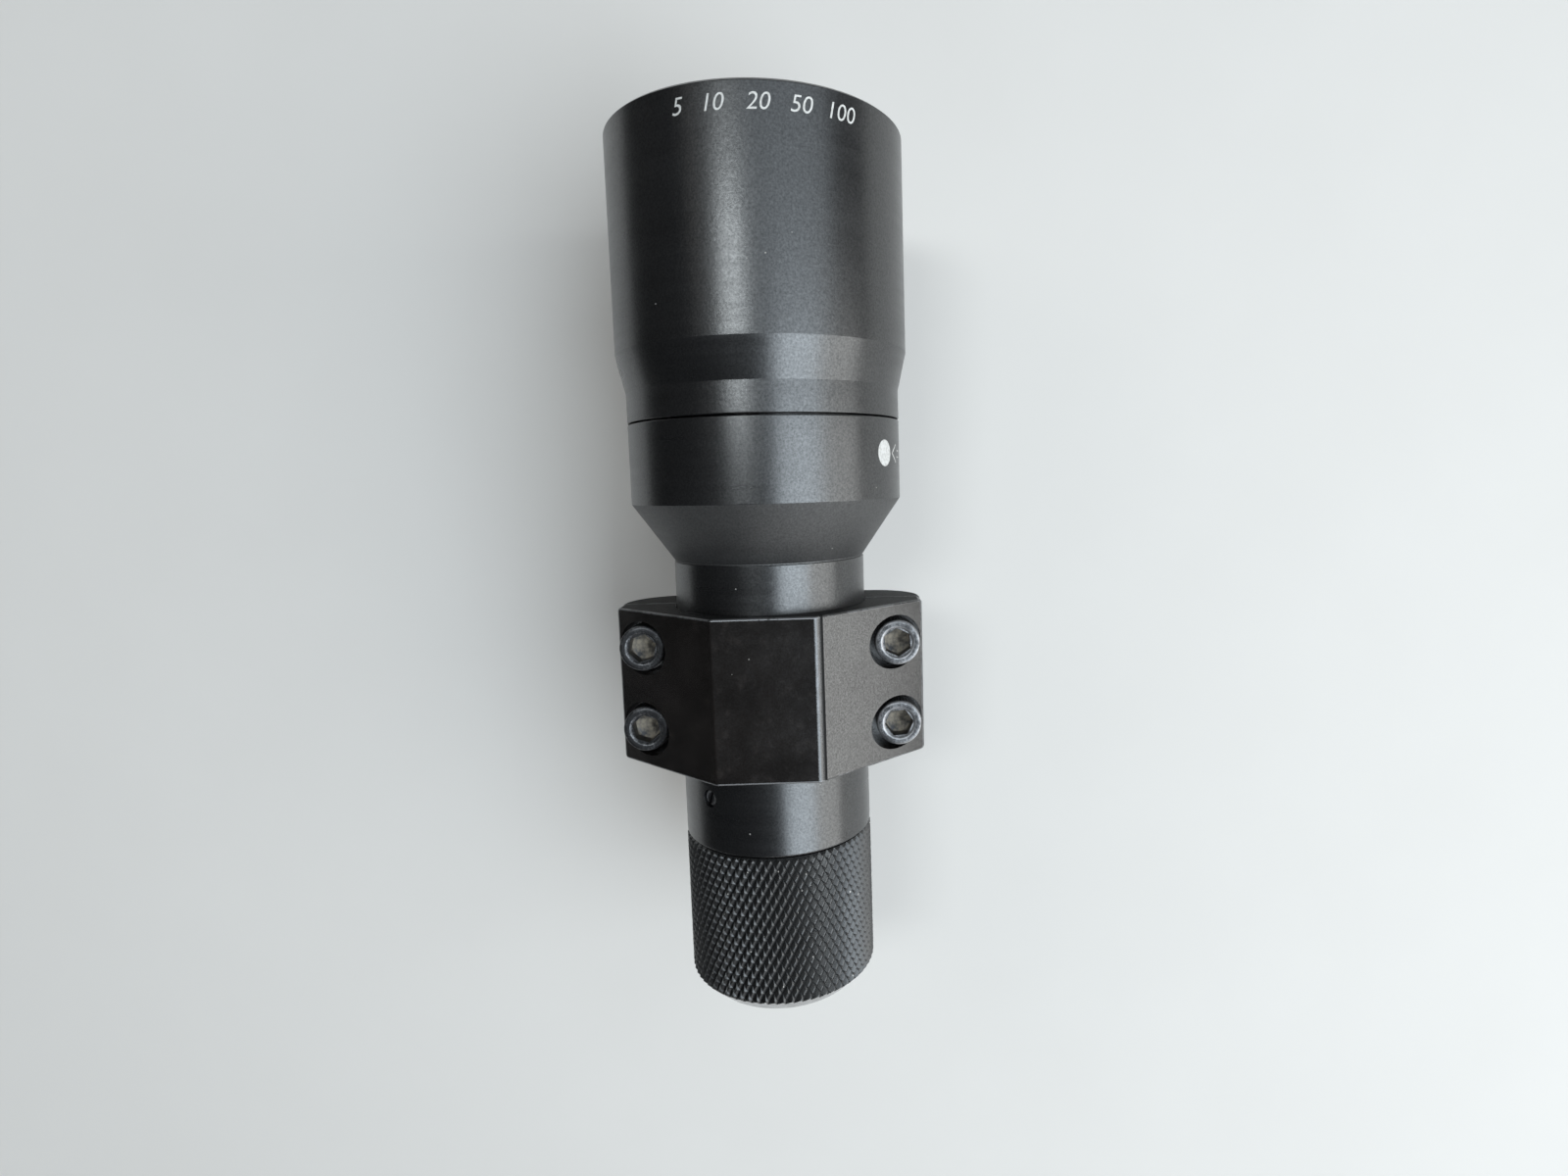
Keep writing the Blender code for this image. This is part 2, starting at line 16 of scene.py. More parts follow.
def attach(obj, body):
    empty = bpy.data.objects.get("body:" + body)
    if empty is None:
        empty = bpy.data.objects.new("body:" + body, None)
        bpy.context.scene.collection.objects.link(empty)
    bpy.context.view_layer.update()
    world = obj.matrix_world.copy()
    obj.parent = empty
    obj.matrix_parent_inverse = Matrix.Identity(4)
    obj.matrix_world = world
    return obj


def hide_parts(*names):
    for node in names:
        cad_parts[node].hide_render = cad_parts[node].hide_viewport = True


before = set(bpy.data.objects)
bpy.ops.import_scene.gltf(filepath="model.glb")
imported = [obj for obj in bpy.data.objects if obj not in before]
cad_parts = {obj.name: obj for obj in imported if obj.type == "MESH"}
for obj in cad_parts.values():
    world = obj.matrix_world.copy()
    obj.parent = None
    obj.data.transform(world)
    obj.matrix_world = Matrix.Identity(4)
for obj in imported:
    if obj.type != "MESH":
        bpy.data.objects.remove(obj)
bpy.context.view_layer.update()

MM = 0.001
AXIS_Z = 38.0
ORIGIN = Vector((0.0, 0.0, AXIS_Z * MM))     # local origin of everything turned
scene = bpy.context.scene


# ------------------------------------------------------------------ materials
class Shader:
    """A small helper that wires one Principled material."""

    def __init__(self, name):
        self.mat = bpy.data.materials.new(name)
        self.mat.use_nodes = True
        self.tree = self.mat.node_tree
        self.bsdf = self.tree.nodes["Principled BSDF"]
        tc = self.tree.nodes.new("ShaderNodeTexCoord")
        self.p = tc.outputs["Object"]

    def node(self, kind, **props):
        n = self.tree.nodes.new(kind)
        for k, v in props.items():
            setattr(n, k, v)
        return n

    def link(self, a, b):
        self.tree.links.new(a, b)

    def put(self, socket, value):
        if hasattr(value, "is_output") or hasattr(value, "links"):
            self.link(value, socket)
        else:
            socket.default_value = value

    def math(self, op, a, b=0.0, c=0.0, clamp=False):
        n = self.node("ShaderNodeMath", operation=op, use_clamp=clamp)
        for s, v in zip(n.inputs, (a, b, c)):
            self.put(s, v)
        return n.outputs[0]

    def scaled(self, sx, sy, sz, vec=None):
        n = self.node("ShaderNodeVectorMath", operation="MULTIPLY")
        self.link(vec or self.p, n.inputs[0])
        n.inputs[1].default_value = (sx, sy, sz)
        return n.outputs[0]

    def noise(self, vec, scale=1.0, detail=2.0, rough=0.5):
        n = self.node("ShaderNodeTexNoise")
        self.link(vec, n.inputs["Vector"])
        n.inputs["Scale"].default_value = scale
        n.inputs["Detail"].default_value = detail
        n.inputs["Roughness"].default_value = rough
        return n.outputs["Fac"]

    def ramp(self, fac, lo, hi, smooth=True, to_lo=0.0, to_hi=1.0):
        n = self.node("ShaderNodeMapRange")
        n.interpolation_type = "SMOOTHSTEP" if smooth else "LINEAR"
        self.put(n.inputs["Value"], fac)
        n.inputs["From Min"].default_value = lo
        n.inputs["From Max"].default_value = hi
        n.inputs["To Min"].default_value = to_lo
        n.inputs["To Max"].default_value = to_hi
        return n.outputs["Result"]

    def mix(self, fac, a, b):
        n = self.node("ShaderNodeMix", data_type="RGBA")
        self.put(n.inputs[0], fac)
        for s, v in ((n.inputs[6], a), (n.inputs[7], b)):
            if isinstance(v, tuple):
                s.default_value = (*v[:3], 1.0)
            else:
                self.link(v, s)
        return n.outputs[2]

    def attr(self, name):
        n = self.node("ShaderNodeAttribute", attribute_type="GEOMETRY")
        n.attribute_name = name
        return n.outputs["Fac"]

    def specks(self, per_m, size, share):
        """Small round dust specks: a mask from scattered cells."""
        v = self.node("ShaderNodeTexVoronoi", feature="F1")
        self.link(self.p, v.inputs["Vector"])
        v.inputs["Scale"].default_value = per_m
        sep = self.node("ShaderNodeSeparateColor")
        self.link(v.outputs["Color"], sep.inputs[0])
        chosen = self.math("GREATER_THAN", sep.outputs[0], 1.0 - share)
        limit = self.math("MULTIPLY", sep.outputs[1], size)
        near = self.math("LESS_THAN", v.outputs["Distance"], limit)
        return self.math("MULTIPLY", near, chosen)

    def bump(self, height, strength, distance, normal=None):
        n = self.node("ShaderNodeBump")
        n.inputs["Strength"].default_value = strength
        n.inputs["Distance"].default_value = distance
        self.link(height, n.inputs["Height"])
        if normal is not None:
            self.link(normal, n.inputs["Normal"])
        return n.outputs["Normal"]

    def set(self, **values):
        for k, v in values.items():
            self.put(self.bsdf.inputs[k.replace("_", " ")], v)


BARE = (0.46, 0.46, 0.47)
DUST = (0.42, 0.40, 0.37)


def turned_black(name, base, rough, level=1.0, grain=1.0, aniso=0.15, bare=0.55, dust=0.012,
                 sheen_noise=0.05, spark=1.0, twinkle=0.55, mottle=0.15):
    """Black anodised aluminium off the lathe: tool marks run round the axis,
    a fine sparkle from the etch before anodising, smudges, dust, and edges
    that have rubbed through to the metal."""
    s = Shader(name)
    # tool marks: quick along x, slow round the piece
    marks = s.noise(s.scaled(5200.0, 130.0, 130.0), 1.0, 3.0, 0.6)
    marks_wide = s.noise(s.scaled(900.0, 40.0, 40.0), 1.0, 2.0, 0.5)
    etch = s.noise(s.p, 4600.0, 3.0, 0.65)
    smudge = s.noise(s.scaled(60.0, 90.0, 90.0), 1.0, 4.0, 0.55)
    smudge_mask = s.ramp(smudge, 0.35, 0.70)
    # base colour
    tone = s.math("MULTIPLY_ADD", s.math("SUBTRACT", marks_wide, 0.5), 0.5, 0.5)
    dark = tuple(c * 0.80 for c in base)
    light = tuple(c * 1.25 for c in base)
    col = s.mix(tone, dark, light)
    col = s.mix(s.math("MULTIPLY", smudge_mask, 0.35), col, tuple(c * 1.7 for c in base))
    wear_n = s.noise(s.p, 700.0, 4.0, 0.65)
    wear = s.ramp(s.math("ADD", s.math("MULTIPLY", s.attr("wear"), bare), wear_n), 0.92, 1.06)
    col = s.mix(wear, col, BARE)
    speck = s.math("MAXIMUM", s.specks(420.0, 0.045, dust * 0.6), s.specks(1500.0, 0.20, dust * 0.8))
    col = s.mix(s.math("MULTIPLY", speck, 0.6), col, DUST)
    # roughness
    r = s.math("MULTIPLY_ADD", s.math("SUBTRACT", smudge, 0.5), 0.14, rough)
    r = s.math("MULTIPLY_ADD", s.math("SUBTRACT", marks_wide, 0.5), sheen_noise * 2.0, r)
    r = s.math("MULTIPLY_ADD", speck, 0.4, r, clamp=True)
    # bump
    n1 = s.bump(marks, 0.12 * grain, 0.00003)
    n2 = s.bump(etch, 0.26 * spark, 0.00002, n1)
    n2 = s.bump(s.noise(s.p, 1450.0, 2.0, 0.55), mottle, 0.00004, n2)
    tan = s.node("ShaderNodeTangent", direction_type="RADIAL", axis="X")
    # the etched skin sparkles: tiny facets send back more or less light
    facet = s.noise(s.p, 3300.0, 3.0, 0.7)
    gloss = s.ramp(facet, 0.30, 0.70, False, 0.5 * level * (1.0 - 0.62 * twinkle),
                   0.5 * level * (1.0 + 0.62 * twinkle))
    s.set(Base_Color=col, Roughness=r, Metallic=s.math("MULTIPLY", wear, 0.9), Normal=n2,
          IOR=1.8, Specular_IOR_Level=gloss, Anisotropic=aniso, Anisotropic_Rotation=0.25)
    s.link(tan.outputs[0], s.bsdf.inputs["Tangent"])
    return s.mat


def blasted_black(name, base, rough, level=1.0, bare=0.35, dust=0.014):
    """Bead-blasted, black anodised plate: an even, fine, matt texture."""
    s = Shader(name)
    blast = s.noise(s.p, 5200.0, 3.0, 0.65)
    mid = s.noise(s.p, 1500.0, 3.0, 0.6)
    big = s.noise(s.p, 120.0, 3.0, 0.5)
    blot = s.noise(s.p, 420.0, 4.0, 0.65)
    col = s.mix(s.ramp(big, 0.3, 0.7), tuple(c * 0.75 for c in base), tuple(c * 1.3 for c in base))
    col = s.mix(s.ramp(blot, 0.52, 0.74), col, tuple(c * 2.1 for c in base))
    col = s.mix(s.ramp(blast, 0.60, 0.75), col, tuple(c * 2.2 for c in base))
    wear_n = s.noise(s.p, 900.0, 4.0, 0.7)
    wear = s.ramp(s.math("ADD", s.math("MULTIPLY", s.attr("wear"), bare), wear_n), 0.86, 1.0)
    col = s.mix(wear, col, BARE)
    speck = s.math("MAXIMUM", s.specks(600.0, 0.07, dust), s.specks(1900.0, 0.22, dust))
    col = s.mix(s.math("MULTIPLY", speck, 0.45), col, DUST)
    r = s.math("MULTIPLY_ADD", s.math("SUBTRACT", big, 0.5), 0.15, rough)
    r = s.math("MULTIPLY_ADD", s.math("SUBTRACT", mid, 0.5), 0.06, r, clamp=True)
    r = s.math("MULTIPLY_ADD", s.math("SUBTRACT", blot, 0.5), 0.10, r, clamp=True)
    n1 = s.bump(blast, 0.09, 0.00002)
    n2 = s.bump(mid, 0.05, 0.00003, n1)
    gloss = s.ramp(s.noise(s.p, 3900.0, 3.0, 0.7), 0.30, 0.70, False, 0.30 * level, 0.78 * level)
    s.set(Base_Color=col, Roughness=r, Metallic=s.math("MULTIPLY", wear, 0.9), Normal=n2,
          IOR=1.8, Specular_IOR_Level=gloss)
    return s.mat


def worn_edge(name, base, share, rough=0.32, bright=0.42, level=1.0):
    """Edges where the black has rubbed off in patches."""
    s = Shader(name)
    patch = s.noise(s.p, 260.0, 5.0, 0.7)
    fine = s.noise(s.p, 2600.0, 3.0, 0.6)
    mask = s.ramp(s.math("MULTIPLY_ADD", s.math("SUBTRACT", fine, 0.5), 0.45, patch),
                  0.62 - share * 0.4, 0.72 - share * 0.4)
    col = s.mix(mask, tuple(c * 1.3 for c in base), (bright, bright, bright * 1.02))
    r = s.math("MULTIPLY_ADD", fine, 0.2, rough - 0.1, clamp=True)
    s.set(Base_Color=col, Roughness=r, Metallic=s.math("MULTIPLY", mask, 0.85),
          Normal=s.bump(fine, 0.3, 0.00003), IOR=1.8, Specular_IOR_Level=0.5 * level)
    return s.mat


def bare_turned(name, bright=0.45, rough=0.30):
    """Bare aluminium where a chamfer was turned after anodising."""
    s = Shader(name)
    marks = s.noise(s.scaled(7000.0, 200.0, 200.0), 1.0, 3.0, 0.6)
    grime = s.ramp(s.noise(s.p, 350.0, 4.0, 0.6), 0.45, 0.70)
    col = s.mix(grime, (bright, bright, bright * 1.01), (bright * 0.70,) * 3)
    s.set(Base_Color=col, Roughness=s.math("MULTIPLY_ADD", marks, 0.15, rough - 0.07),
          Metallic=1.0, Normal=s.bump(marks, 0.25, 0.00003))
    return s.mat


def knurled_black(name, base, rough, level=1.0):
    """Anodised knurl: crests a little rubbed, the colour darker towards the groove floors, dust specks."""
    s = Shader(name)
    h = s.attr("wear")                      # 0 in a groove, 1 on a crest
    etch = s.noise(s.p, 7000.0, 3.0, 0.6)
    patch = s.noise(s.p, 300.0, 3.0, 0.6)
    # colour darker towards the groove floors and lighter on the crests
    col = s.mix(s.ramp(h, 0.0, 0.7), tuple(c * 0.55 for c in base), tuple(c * 1.25 for c in base))
    rub = s.ramp(s.math("ADD", s.math("MULTIPLY", h, 0.32), patch), 0.90, 1.10)
    col = s.mix(s.math("MULTIPLY", rub, 0.6), col, (0.12, 0.12, 0.125))
    speck = s.specks(1500.0, 0.24, 0.05)
    col = s.mix(speck, col, DUST)
    r = s.math("MULTIPLY_ADD", s.math("SUBTRACT", patch, 0.5), 0.2, rough)
    s.set(Base_Color=col, Roughness=r, Metallic=s.math("MULTIPLY", rub, 0.35),
          Normal=s.bump(etch, 0.35, 0.00003), IOR=1.8, Specular_IOR_Level=0.5 * level)
    return s.mat


def flat_black(name, base=(0.010, 0.010, 0.010), rough=0.75):
    s = Shader(name)
    grain = s.noise(s.scaled(4000.0, 300.0, 300.0), 1.0, 2.0, 0.5)
    col = s.mix(grain, tuple(c * 0.7 for c in base), tuple(c * 1.5 for c in base))
    s.set(Base_Color=col, Roughness=s.math("MULTIPLY_ADD", grain, 0.15, rough - 0.07),
          Normal=s.bump(grain, 0.3, 0.00004))
    return s.mat


def steel_black(name):
    """Black-oxide socket screws, rubbed grey on top and on the rims."""
    s = Shader(name)
    fine = s.noise(s.p, 4200.0, 4.0, 0.65)
    patch = s.noise(s.p, 600.0, 3.0, 0.6)
    w = s.attr("wear")
    rub = s.ramp(s.math("ADD", s.math("MULTIPLY", w, 0.62),
                        s.math("MULTIPLY", s.math("ADD", fine, patch), 0.5)), 0.62, 1.05)
    col = s.mix(rub, (0.045, 0.045, 0.047), (0.44, 0.44, 0.45))
    dirt = s.math("MULTIPLY", s.attr("dirt"), s.ramp(patch, 0.30, 0.62))
    col = s.mix(s.math("MULTIPLY", dirt, 0.85), col, (0.30, 0.26, 0.20))
    metal = s.math("MULTIPLY", s.math("SUBTRACT", 1.0, dirt, clamp=True), 0.85)
    r = s.math("MULTIPLY_ADD", fine, 0.22, 0.30)
    r = s.math("MULTIPLY_ADD", dirt, 0.4, r, clamp=True)
    s.set(Base_Color=col, Roughness=r, Metallic=metal, Normal=s.bump(fine, 0.35, 0.00003))
    return s.mat


def brass(name):
    s = Shader(name)
    n = s.noise(s.scaled(600.0, 600.0, 4000.0), 1.0, 3.0, 0.6)
    s.set(Base_Color=s.mix(n, (0.50, 0.34, 0.13), (0.72, 0.52, 0.22)),
          Roughness=s.math("MULTIPLY_ADD", n, 0.15, 0.22), Metallic=1.0,
          Normal=s.bump(n, 0.2, 0.00002))
    return s.mat


def rubber(name):
    s = Shader(name)
    n = s.noise(s.p, 5000.0, 3.0, 0.6)
    s.set(Base_Color=s.mix(n, (0.010,) * 3, (0.022,) * 3), Roughness=0.62,
          Normal=s.bump(n, 0.3, 0.00003))
    return s.mat


def glass(name, tint=(0.93, 0.97, 0.95), film=330.0):
    """Coated lens: faint smear and a few motes, coating as a thin film."""
    s = Shader(name)
    smear = s.noise(s.scaled(90.0, 260.0, 90.0), 1.0, 4.0, 0.6)
    mote = s.specks(700.0, 0.10, 0.03)
    r = s.math("MULTIPLY_ADD", s.ramp(smear, 0.55, 0.8), 0.05, 0.015)
    r = s.math("MULTIPLY_ADD", mote, 0.5, r, clamp=True)
    s.set(Base_Color=s.mix(mote, tint, (0.75, 0.75, 0.72)), Roughness=r,
          Transmission_Weight=1.0, IOR=1.52, Thin_Film_Thickness=film, Thin_Film_IOR=1.38)
    return s.mat


def white_paint(name, bright=0.60, fine_scale=2600.0):
    """Filled-in white marking paint, a little yellowed and chipped."""
    s = Shader(name)
    fine = s.noise(s.p, fine_scale, 4.0, 0.6)
    patch = s.noise(s.p, 500.0, 2.0, 0.5)
    col = s.mix(s.ramp(fine, 0.30, 0.62), (bright * 0.72, bright * 0.70, bright * 0.66),
                (bright, bright * 0.985, bright * 0.95))
    col = s.mix(s.ramp(patch, 0.62, 0.78, to_hi=0.4), col, (0.35, 0.34, 0.32))
    s.set(Base_Color=col, Roughness=s.math("MULTIPLY_ADD", fine, 0.2, 0.45),
          Normal=s.bump(fine, 0.35, 0.00003))
    return s.mat


BODY = turned_black("anodised_body_fine", (0.0048, 0.0048, 0.0052), 0.30)
BELL = turned_black("anodised_bell_fine", (0.0048, 0.0048, 0.0052), 0.31, mottle=0.32)
CONE = turned_black("anodised_cone_fine", (0.0130, 0.0127, 0.0126), 0.55, level=1.1, aniso=0.1, mottle=0.05)
KNURL = knurled_black("anodised_knurl_fine", (0.0062, 0.0062, 0.0066), 0.40, 0.85)
RIM = bare_turned("bare_chamfer", 0.47, 0.26)
CLAMP = blasted_black("blasted_clamp", (0.0062, 0.0048, 0.0042), 0.215, 0.90, dust=0.012)
CLAMP_END = blasted_black("milled_clamp_end", (0.0040, 0.0038, 0.0036), 0.62, 0.30, dust=0.0)
CLAMP_EDGE = worn_edge("clamp_worn_edge", (0.0080, 0.0072, 0.0070), 0.45, 0.36, 0.17)
CLAMP_RUBBED = worn_edge("clamp_rubbed_edge", (0.0080, 0.0072, 0.0070), 0.45, 0.27, 0.10)
FOOT = blasted_black("blasted_foot", (0.010, 0.010, 0.0105), 0.40)
FOOT_EDGE = worn_edge("foot_worn_edge", (0.028, 0.028, 0.029), 0.30)
INNER = flat_black("flat_black_inner")
STEEL = steel_black("black_oxide_fine")
BRASS = brass("brass_pin_fine")
RUBBER = rubber("nitrile_rubber")
GLASS_FRONT = glass("coated_front_glass", (0.93, 0.97, 0.95), 340.0)
GLASS_EYE = glass("coated_eye_glass", (0.95, 0.95, 0.97), 420.0)
GLASS_PLAIN = glass("reticle_plate_glass", (0.97, 0.98, 0.98), 250.0)
WHITE = white_paint("marking_paint")


# -------------------------------------------------------------- mesh helpers
def rounded(points, seg=3, support=0.05):
    """Rounds a closed (x, r) loop.  A point is (x, r, fillet, wear, mat): the
    fillet in mm, how bare the edge is, and the material of the stretch after it.
    Returns (x, r, wear, mat) with a holding point on each side of a fillet."""
    full = [tuple(p) + (0.0, 0.0, 0)[len(p) - 2:] for p in points]
    out = []
    n = len(full)
    for i, (x, r, f, wear, mat) in enumerate(full):
        before_mat = full[i - 1][4]
        p0, p1, p2 = Vector(full[i - 1][:2]), Vector((x, r)), Vector(full[(i + 1) % n][:2])
        a, b = p0 - p1, p2 - p1
        la, lb = a.length, b.length
        a.normalize()
        b.normalize()
        ang = a.angle(b)
        if f <= 0.0 or abs(math.pi - ang) < 0.02:
            out.append((x, r, wear, mat))
            continue
        t = min(f / math.tan(ang / 2.0), 0.40 * min(la, lb))
        f = t * math.tan(ang / 2.0)
        s, e = p1 + a * t, p1 + b * t
        centre = p1 + (a + b).normalized() * (f / math.sin(ang / 2.0))
        phi = math.pi - ang
        hold = min(support, 0.08 * la)
        out.append((*(s + a * hold), 0.0, before_mat))
        cs, ce = s - centre, e - centre
        for k in range(seg + 1):
            u = k / seg
            q = centre + (cs * math.sin((1 - u) * phi) + ce * math.sin(u * phi)) / math.sin(phi)
            out.append((q.x, q.y, wear, before_mat if k < seg / 2 else mat))
        hold = min(support, 0.08 * lb)
        out.append((*(e + b * hold), 0.0, mat))
    return out


def add_attribute(me, name, values):
    a = me.attributes.get(name) or me.attributes.new(name, "FLOAT", "POINT")
    a.data.foreach_set("value", np.asarray(values, np.float32))


def place(name, me, mats, at=ORIGIN):
    ob = bpy.data.objects.new(name, me)
    ob.location = at
    scene.collection.objects.link(ob)
    slots = [0] * len(me.polygons)
    me.polygons.foreach_get("material_index", slots)
    for m in mats:
        me.materials.append(m)
    me.polygons.foreach_set("material_index", slots)
    return ob


def shade(ob, angle=32.0):
    ob.data.shade_smooth()
    ob.data.set_sharp_from_angle(angle=math.radians(angle))
    return ob


def lathe(name, points, mats, segs=192, closed=True, seg=3):
    """Turns a loop of (x, r, ...) about the optical axis."""
    prof = rounded(points, seg) if closed else [tuple(p) + (0.0, 0)[len(p) - 2:] for p in points]
    m = len(prof)
    ang = np.arange(segs) * (2.0 * math.pi / segs)
    x = np.array([p[0] for p in prof])
    r = np.array([p[1] for p in prof])
    co = np.zeros((segs, m, 3))
    co[:, :, 0] = x
    co[:, :, 1] = r[None, :] * np.sin(ang)[:, None]
    co[:, :, 2] = -r[None, :] * np.cos(ang)[:, None]
    co = co.reshape(-1, 3) * MM
    spans = m if closed else m - 1
    faces, mat = [], []
    for i in range(segs):
        j = (i + 1) % segs
        for k in range(spans):
            k2 = (k + 1) % m
            faces.append((i * m + k, i * m + k2, j * m + k2, j * m + k))
            mat.append(prof[k][3])
    me = bpy.data.meshes.new(name)
    me.from_pydata(co.tolist(), [], faces)
    me.polygons.foreach_set("material_index", mat)
    add_attribute(me, "wear", np.tile([p[2] for p in prof], segs))
    bm = bmesh.new()
    bm.from_mesh(me)
    if not closed:
        bmesh.ops.remove_doubles(bm, verts=bm.verts[:], dist=2e-8)
        bad = [f for f in bm.faces if f.calc_area() < 1e-16]
        if bad:
            bmesh.ops.delete(bm, geom=bad, context="FACES")
    bmesh.ops.recalc_face_normals(bm, faces=bm.faces[:])
    bm.to_mesh(me)
    bm.free()
    return shade(place(name, me, mats))


def apply_all(ob):
    """Bakes the object's modifiers into its mesh."""
    bpy.context.view_layer.update()
    deps = bpy.context.evaluated_depsgraph_get()
    me = bpy.data.meshes.new_from_object(ob.evaluated_get(deps), preserve_all_data_layers=True,
                                         depsgraph=deps)
    old = ob.data
    ob.modifiers.clear()
    ob.data = me
    me.name = old.name
    bpy.data.meshes.remove(old)
    return ob


def boolean(ob, cutters, operation="DIFFERENCE"):
    for c in cutters:
        mod = ob.modifiers.new("bool", "BOOLEAN")
        mod.operation = operation
        mod.solver = "EXACT"
        mod.object = c
    apply_all(ob)
    for c in cutters:
        me = c.data
        bpy.data.objects.remove(c, do_unlink=True)
        bpy.data.meshes.remove(me)
    return ob


def cylinder(name, centre, axis, radius, depth, segs=64, mats=(), radius2=None):
    """A plain round cutter; centre in mm in the row frame, axis a vector."""
    bm = bmesh.new()
    bmesh.ops.create_cone(bm, cap_ends=True, segments=segs, radius1=radius * MM,
                          radius2=(radius if radius2 is None else radius2) * MM, depth=depth * MM)
    me = bpy.data.meshes.new(name)
    bm.to_mesh(me)
    bm.free()
    ob = place(name, me, mats, Vector(centre) * MM)
    ob.rotation_mode = "QUATERNION"
    ob.rotation_quaternion = Vector(axis).to_track_quat("Z", "Y")
    return ob


def block(name, centre, size, mats=(), rot=None):
    bm = bmesh.new()
    bmesh.ops.create_cube(bm, size=1.0)
    for v in bm.verts:
        v.co = Vector((v.co.x * size[0], v.co.y * size[1], v.co.z * size[2])) * MM
    me = bpy.data.meshes.new(name)
    bm.to_mesh(me)
    bm.free()
    ob = place(name, me, mats, Vector(centre) * MM)
    if rot is not None:
        ob.rotation_euler = rot
    return ob


def groove_cutter(name, x_mid, travel, turn, floor_r, top_r, width, mats):
    """A rectangular section wound about the axis: the cam groove."""
    pitch = travel / turn
    sweep = turn + math.radians(12.0)
    count = 90
    bm = bmesh.new()
    rings = []
    for i in range(count + 1):
        a = -sweep / 2.0 + sweep * i / count
        x = x_mid - pitch * a
        radial = Vector((0.0, math.sin(a), -math.cos(a)))
        rings.append([bm.verts.new((radial * r + Vector((x + dx, 0.0, 0.0))) * MM)
                      for r, dx in ((floor_r, -width / 2), (top_r, -width / 2),
                                    (top_r, width / 2), (floor_r, width / 2))])
    for a, b in zip(rings, rings[1:]):
        for k in range(4):
            bm.faces.new((a[k], a[(k + 1) % 4], b[(k + 1) % 4], b[k]))
    for ring in (rings[0], rings[-1]):
        bm.faces.new(ring).material_index = len(mats) - 1
    bmesh.ops.recalc_face_normals(bm, faces=bm.faces[:])
    me = bpy.data.meshes.new(name)
    bm.to_mesh(me)
    bm.free()
    return place(name, me, mats)


def ridges(x0, x1, r_root, r_crest, pitch):
    """Points of a fine saw profile from x0 to x1: threads and anti-glare steps."""
    n = max(1, int(round(abs(x1 - x0) / pitch)))
    step = (x1 - x0) / n
    pts = []
    for i in range(n):
        pts.append((x0 + step * i, r_root))
        pts.append((x0 + step * (i + 0.5), r_crest))
    pts.append((x1, r_root))
    return pts


def done(ob, body, slot, *nodes):
    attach(ob, body)
    if nodes:
        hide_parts(*nodes)
    return ob


# ------------------------------------------------------------------ body tube
R, C = 0, 1      # material slots on the body: turned, cone
body = lathe("body_tube_turned", [
    (62.6, 17.9, 0.10), (62.4, 18.0)] + ridges(62.3, 58.9, 17.75, 18.0, 0.5) + [
    (58.6, 17.7), (58.6, 18.75, 0.1), (45.6, 18.75, 0.05), (45.6, 17.3), (43.7, 17.3),
    (43.7, 18.75, 0.05), (40.2, 18.75), (40.2, 21.06, 0.16, 0.35, R),
    (28.3, 21.06, 0.14, 0.30, C), (19.62, 15.02, 0.0, 0.0, C), (19.50, 14.86, 0.0, 0.0, C),
    (19.34, 14.86, 0.0, 0.0, R), (19.24, 15.0, 0.03, 0.0, R),
    (12.4, 15.0), (12.1, 15.0), (-12.1, 15.0), (-12.5, 15.0), (-14.2, 15.0), (-18.2, 15.0),
    (-24.35, 15.0, 0.28, 0.25, R),
    (-24.35, 12.6), (-25.1, 12.6), (-25.1, 11.6), (-26.7, 11.6), (-26.7, 12.6),
    (-37.2, 12.6)] + ridges(-37.4, -39.9, 12.25, 12.5, 0.5) + [(-40.2, 12.15, 0.08),
    (-40.2, 10.9, 0.08), (-24.0, 10.9), (-24.0, 13.0), (19.0, 13.0), (27.0, 15.4),
    (30.7, 15.4), (30.7, 16.7), (62.6, 16.7, 0.1)],
    [BODY, CONE, INNER], segs=224)
SET_AZ = math.radians(39.5)
set_out = Vector((0.0, math.sin(SET_AZ), math.cos(SET_AZ)))
set_at = Vector((-16.2, 0.0, AXIS_Z))
boolean(body, [
    cylinder("cut_set", set_at + set_out * 14.2, set_out, 1.34, 4.4, 48, (BODY, CONE, INNER)),
    block("cut_focus_slot", (52.2, 0.0, AXIS_Z - 17.8), (8.4, 2.4, 4.6), (BODY, CONE, INNER)),
    block("cut_dioptre_slot", (-31.2, 0.0, AXIS_Z - 11.8), (7.4, 2.4, 3.4), (BODY, CONE, INNER))])
shade(body)
done(body, "main_body", "anodised_body", "body_tube")

# set screw: slotted, its slot and rim rubbed bright
me_bm = bmesh.new()
prof = [(0.0, 0.85), (1.02, 0.85), (1.22, 0.68), (1.22, -0.85), (0.0, -0.85)]
ring_prev, rings = None, []
SEG = 48
for r_, z_ in prof:
    if r_ == 0.0:
        rings.append([me_bm.verts.new((0, 0, z_ * MM))])
    else:
        rings.append([me_bm.verts.new((r_ * MM * math.cos(2 * math.pi * i / SEG),
                                       r_ * MM * math.sin(2 * math.pi * i / SEG), z_ * MM))
                      for i in range(SEG)])
for a_, b_ in zip(rings, rings[1:]):
    for i in range(SEG):
        j = (i + 1) % SEG
        if len(a_) == 1:
            me_bm.faces.new((a_[0], b_[i], b_[j]))
        elif len(b_) == 1:
            me_bm.faces.new((a_[i], b_[0], a_[j]))
        else:
            me_bm.faces.new((a_[i], b_[i], b_[j], a_[j]))
bmesh.ops.recalc_face_normals(me_bm, faces=me_bm.faces[:])
me_set = bpy.data.meshes.new("reticle_set_screw_fine")
me_bm.to_mesh(me_set)
me_bm.free()
add_attribute(me_set, "wear", [0.75 if v.co.z > 0.0006 else 0.2 for v in me_set.vertices])
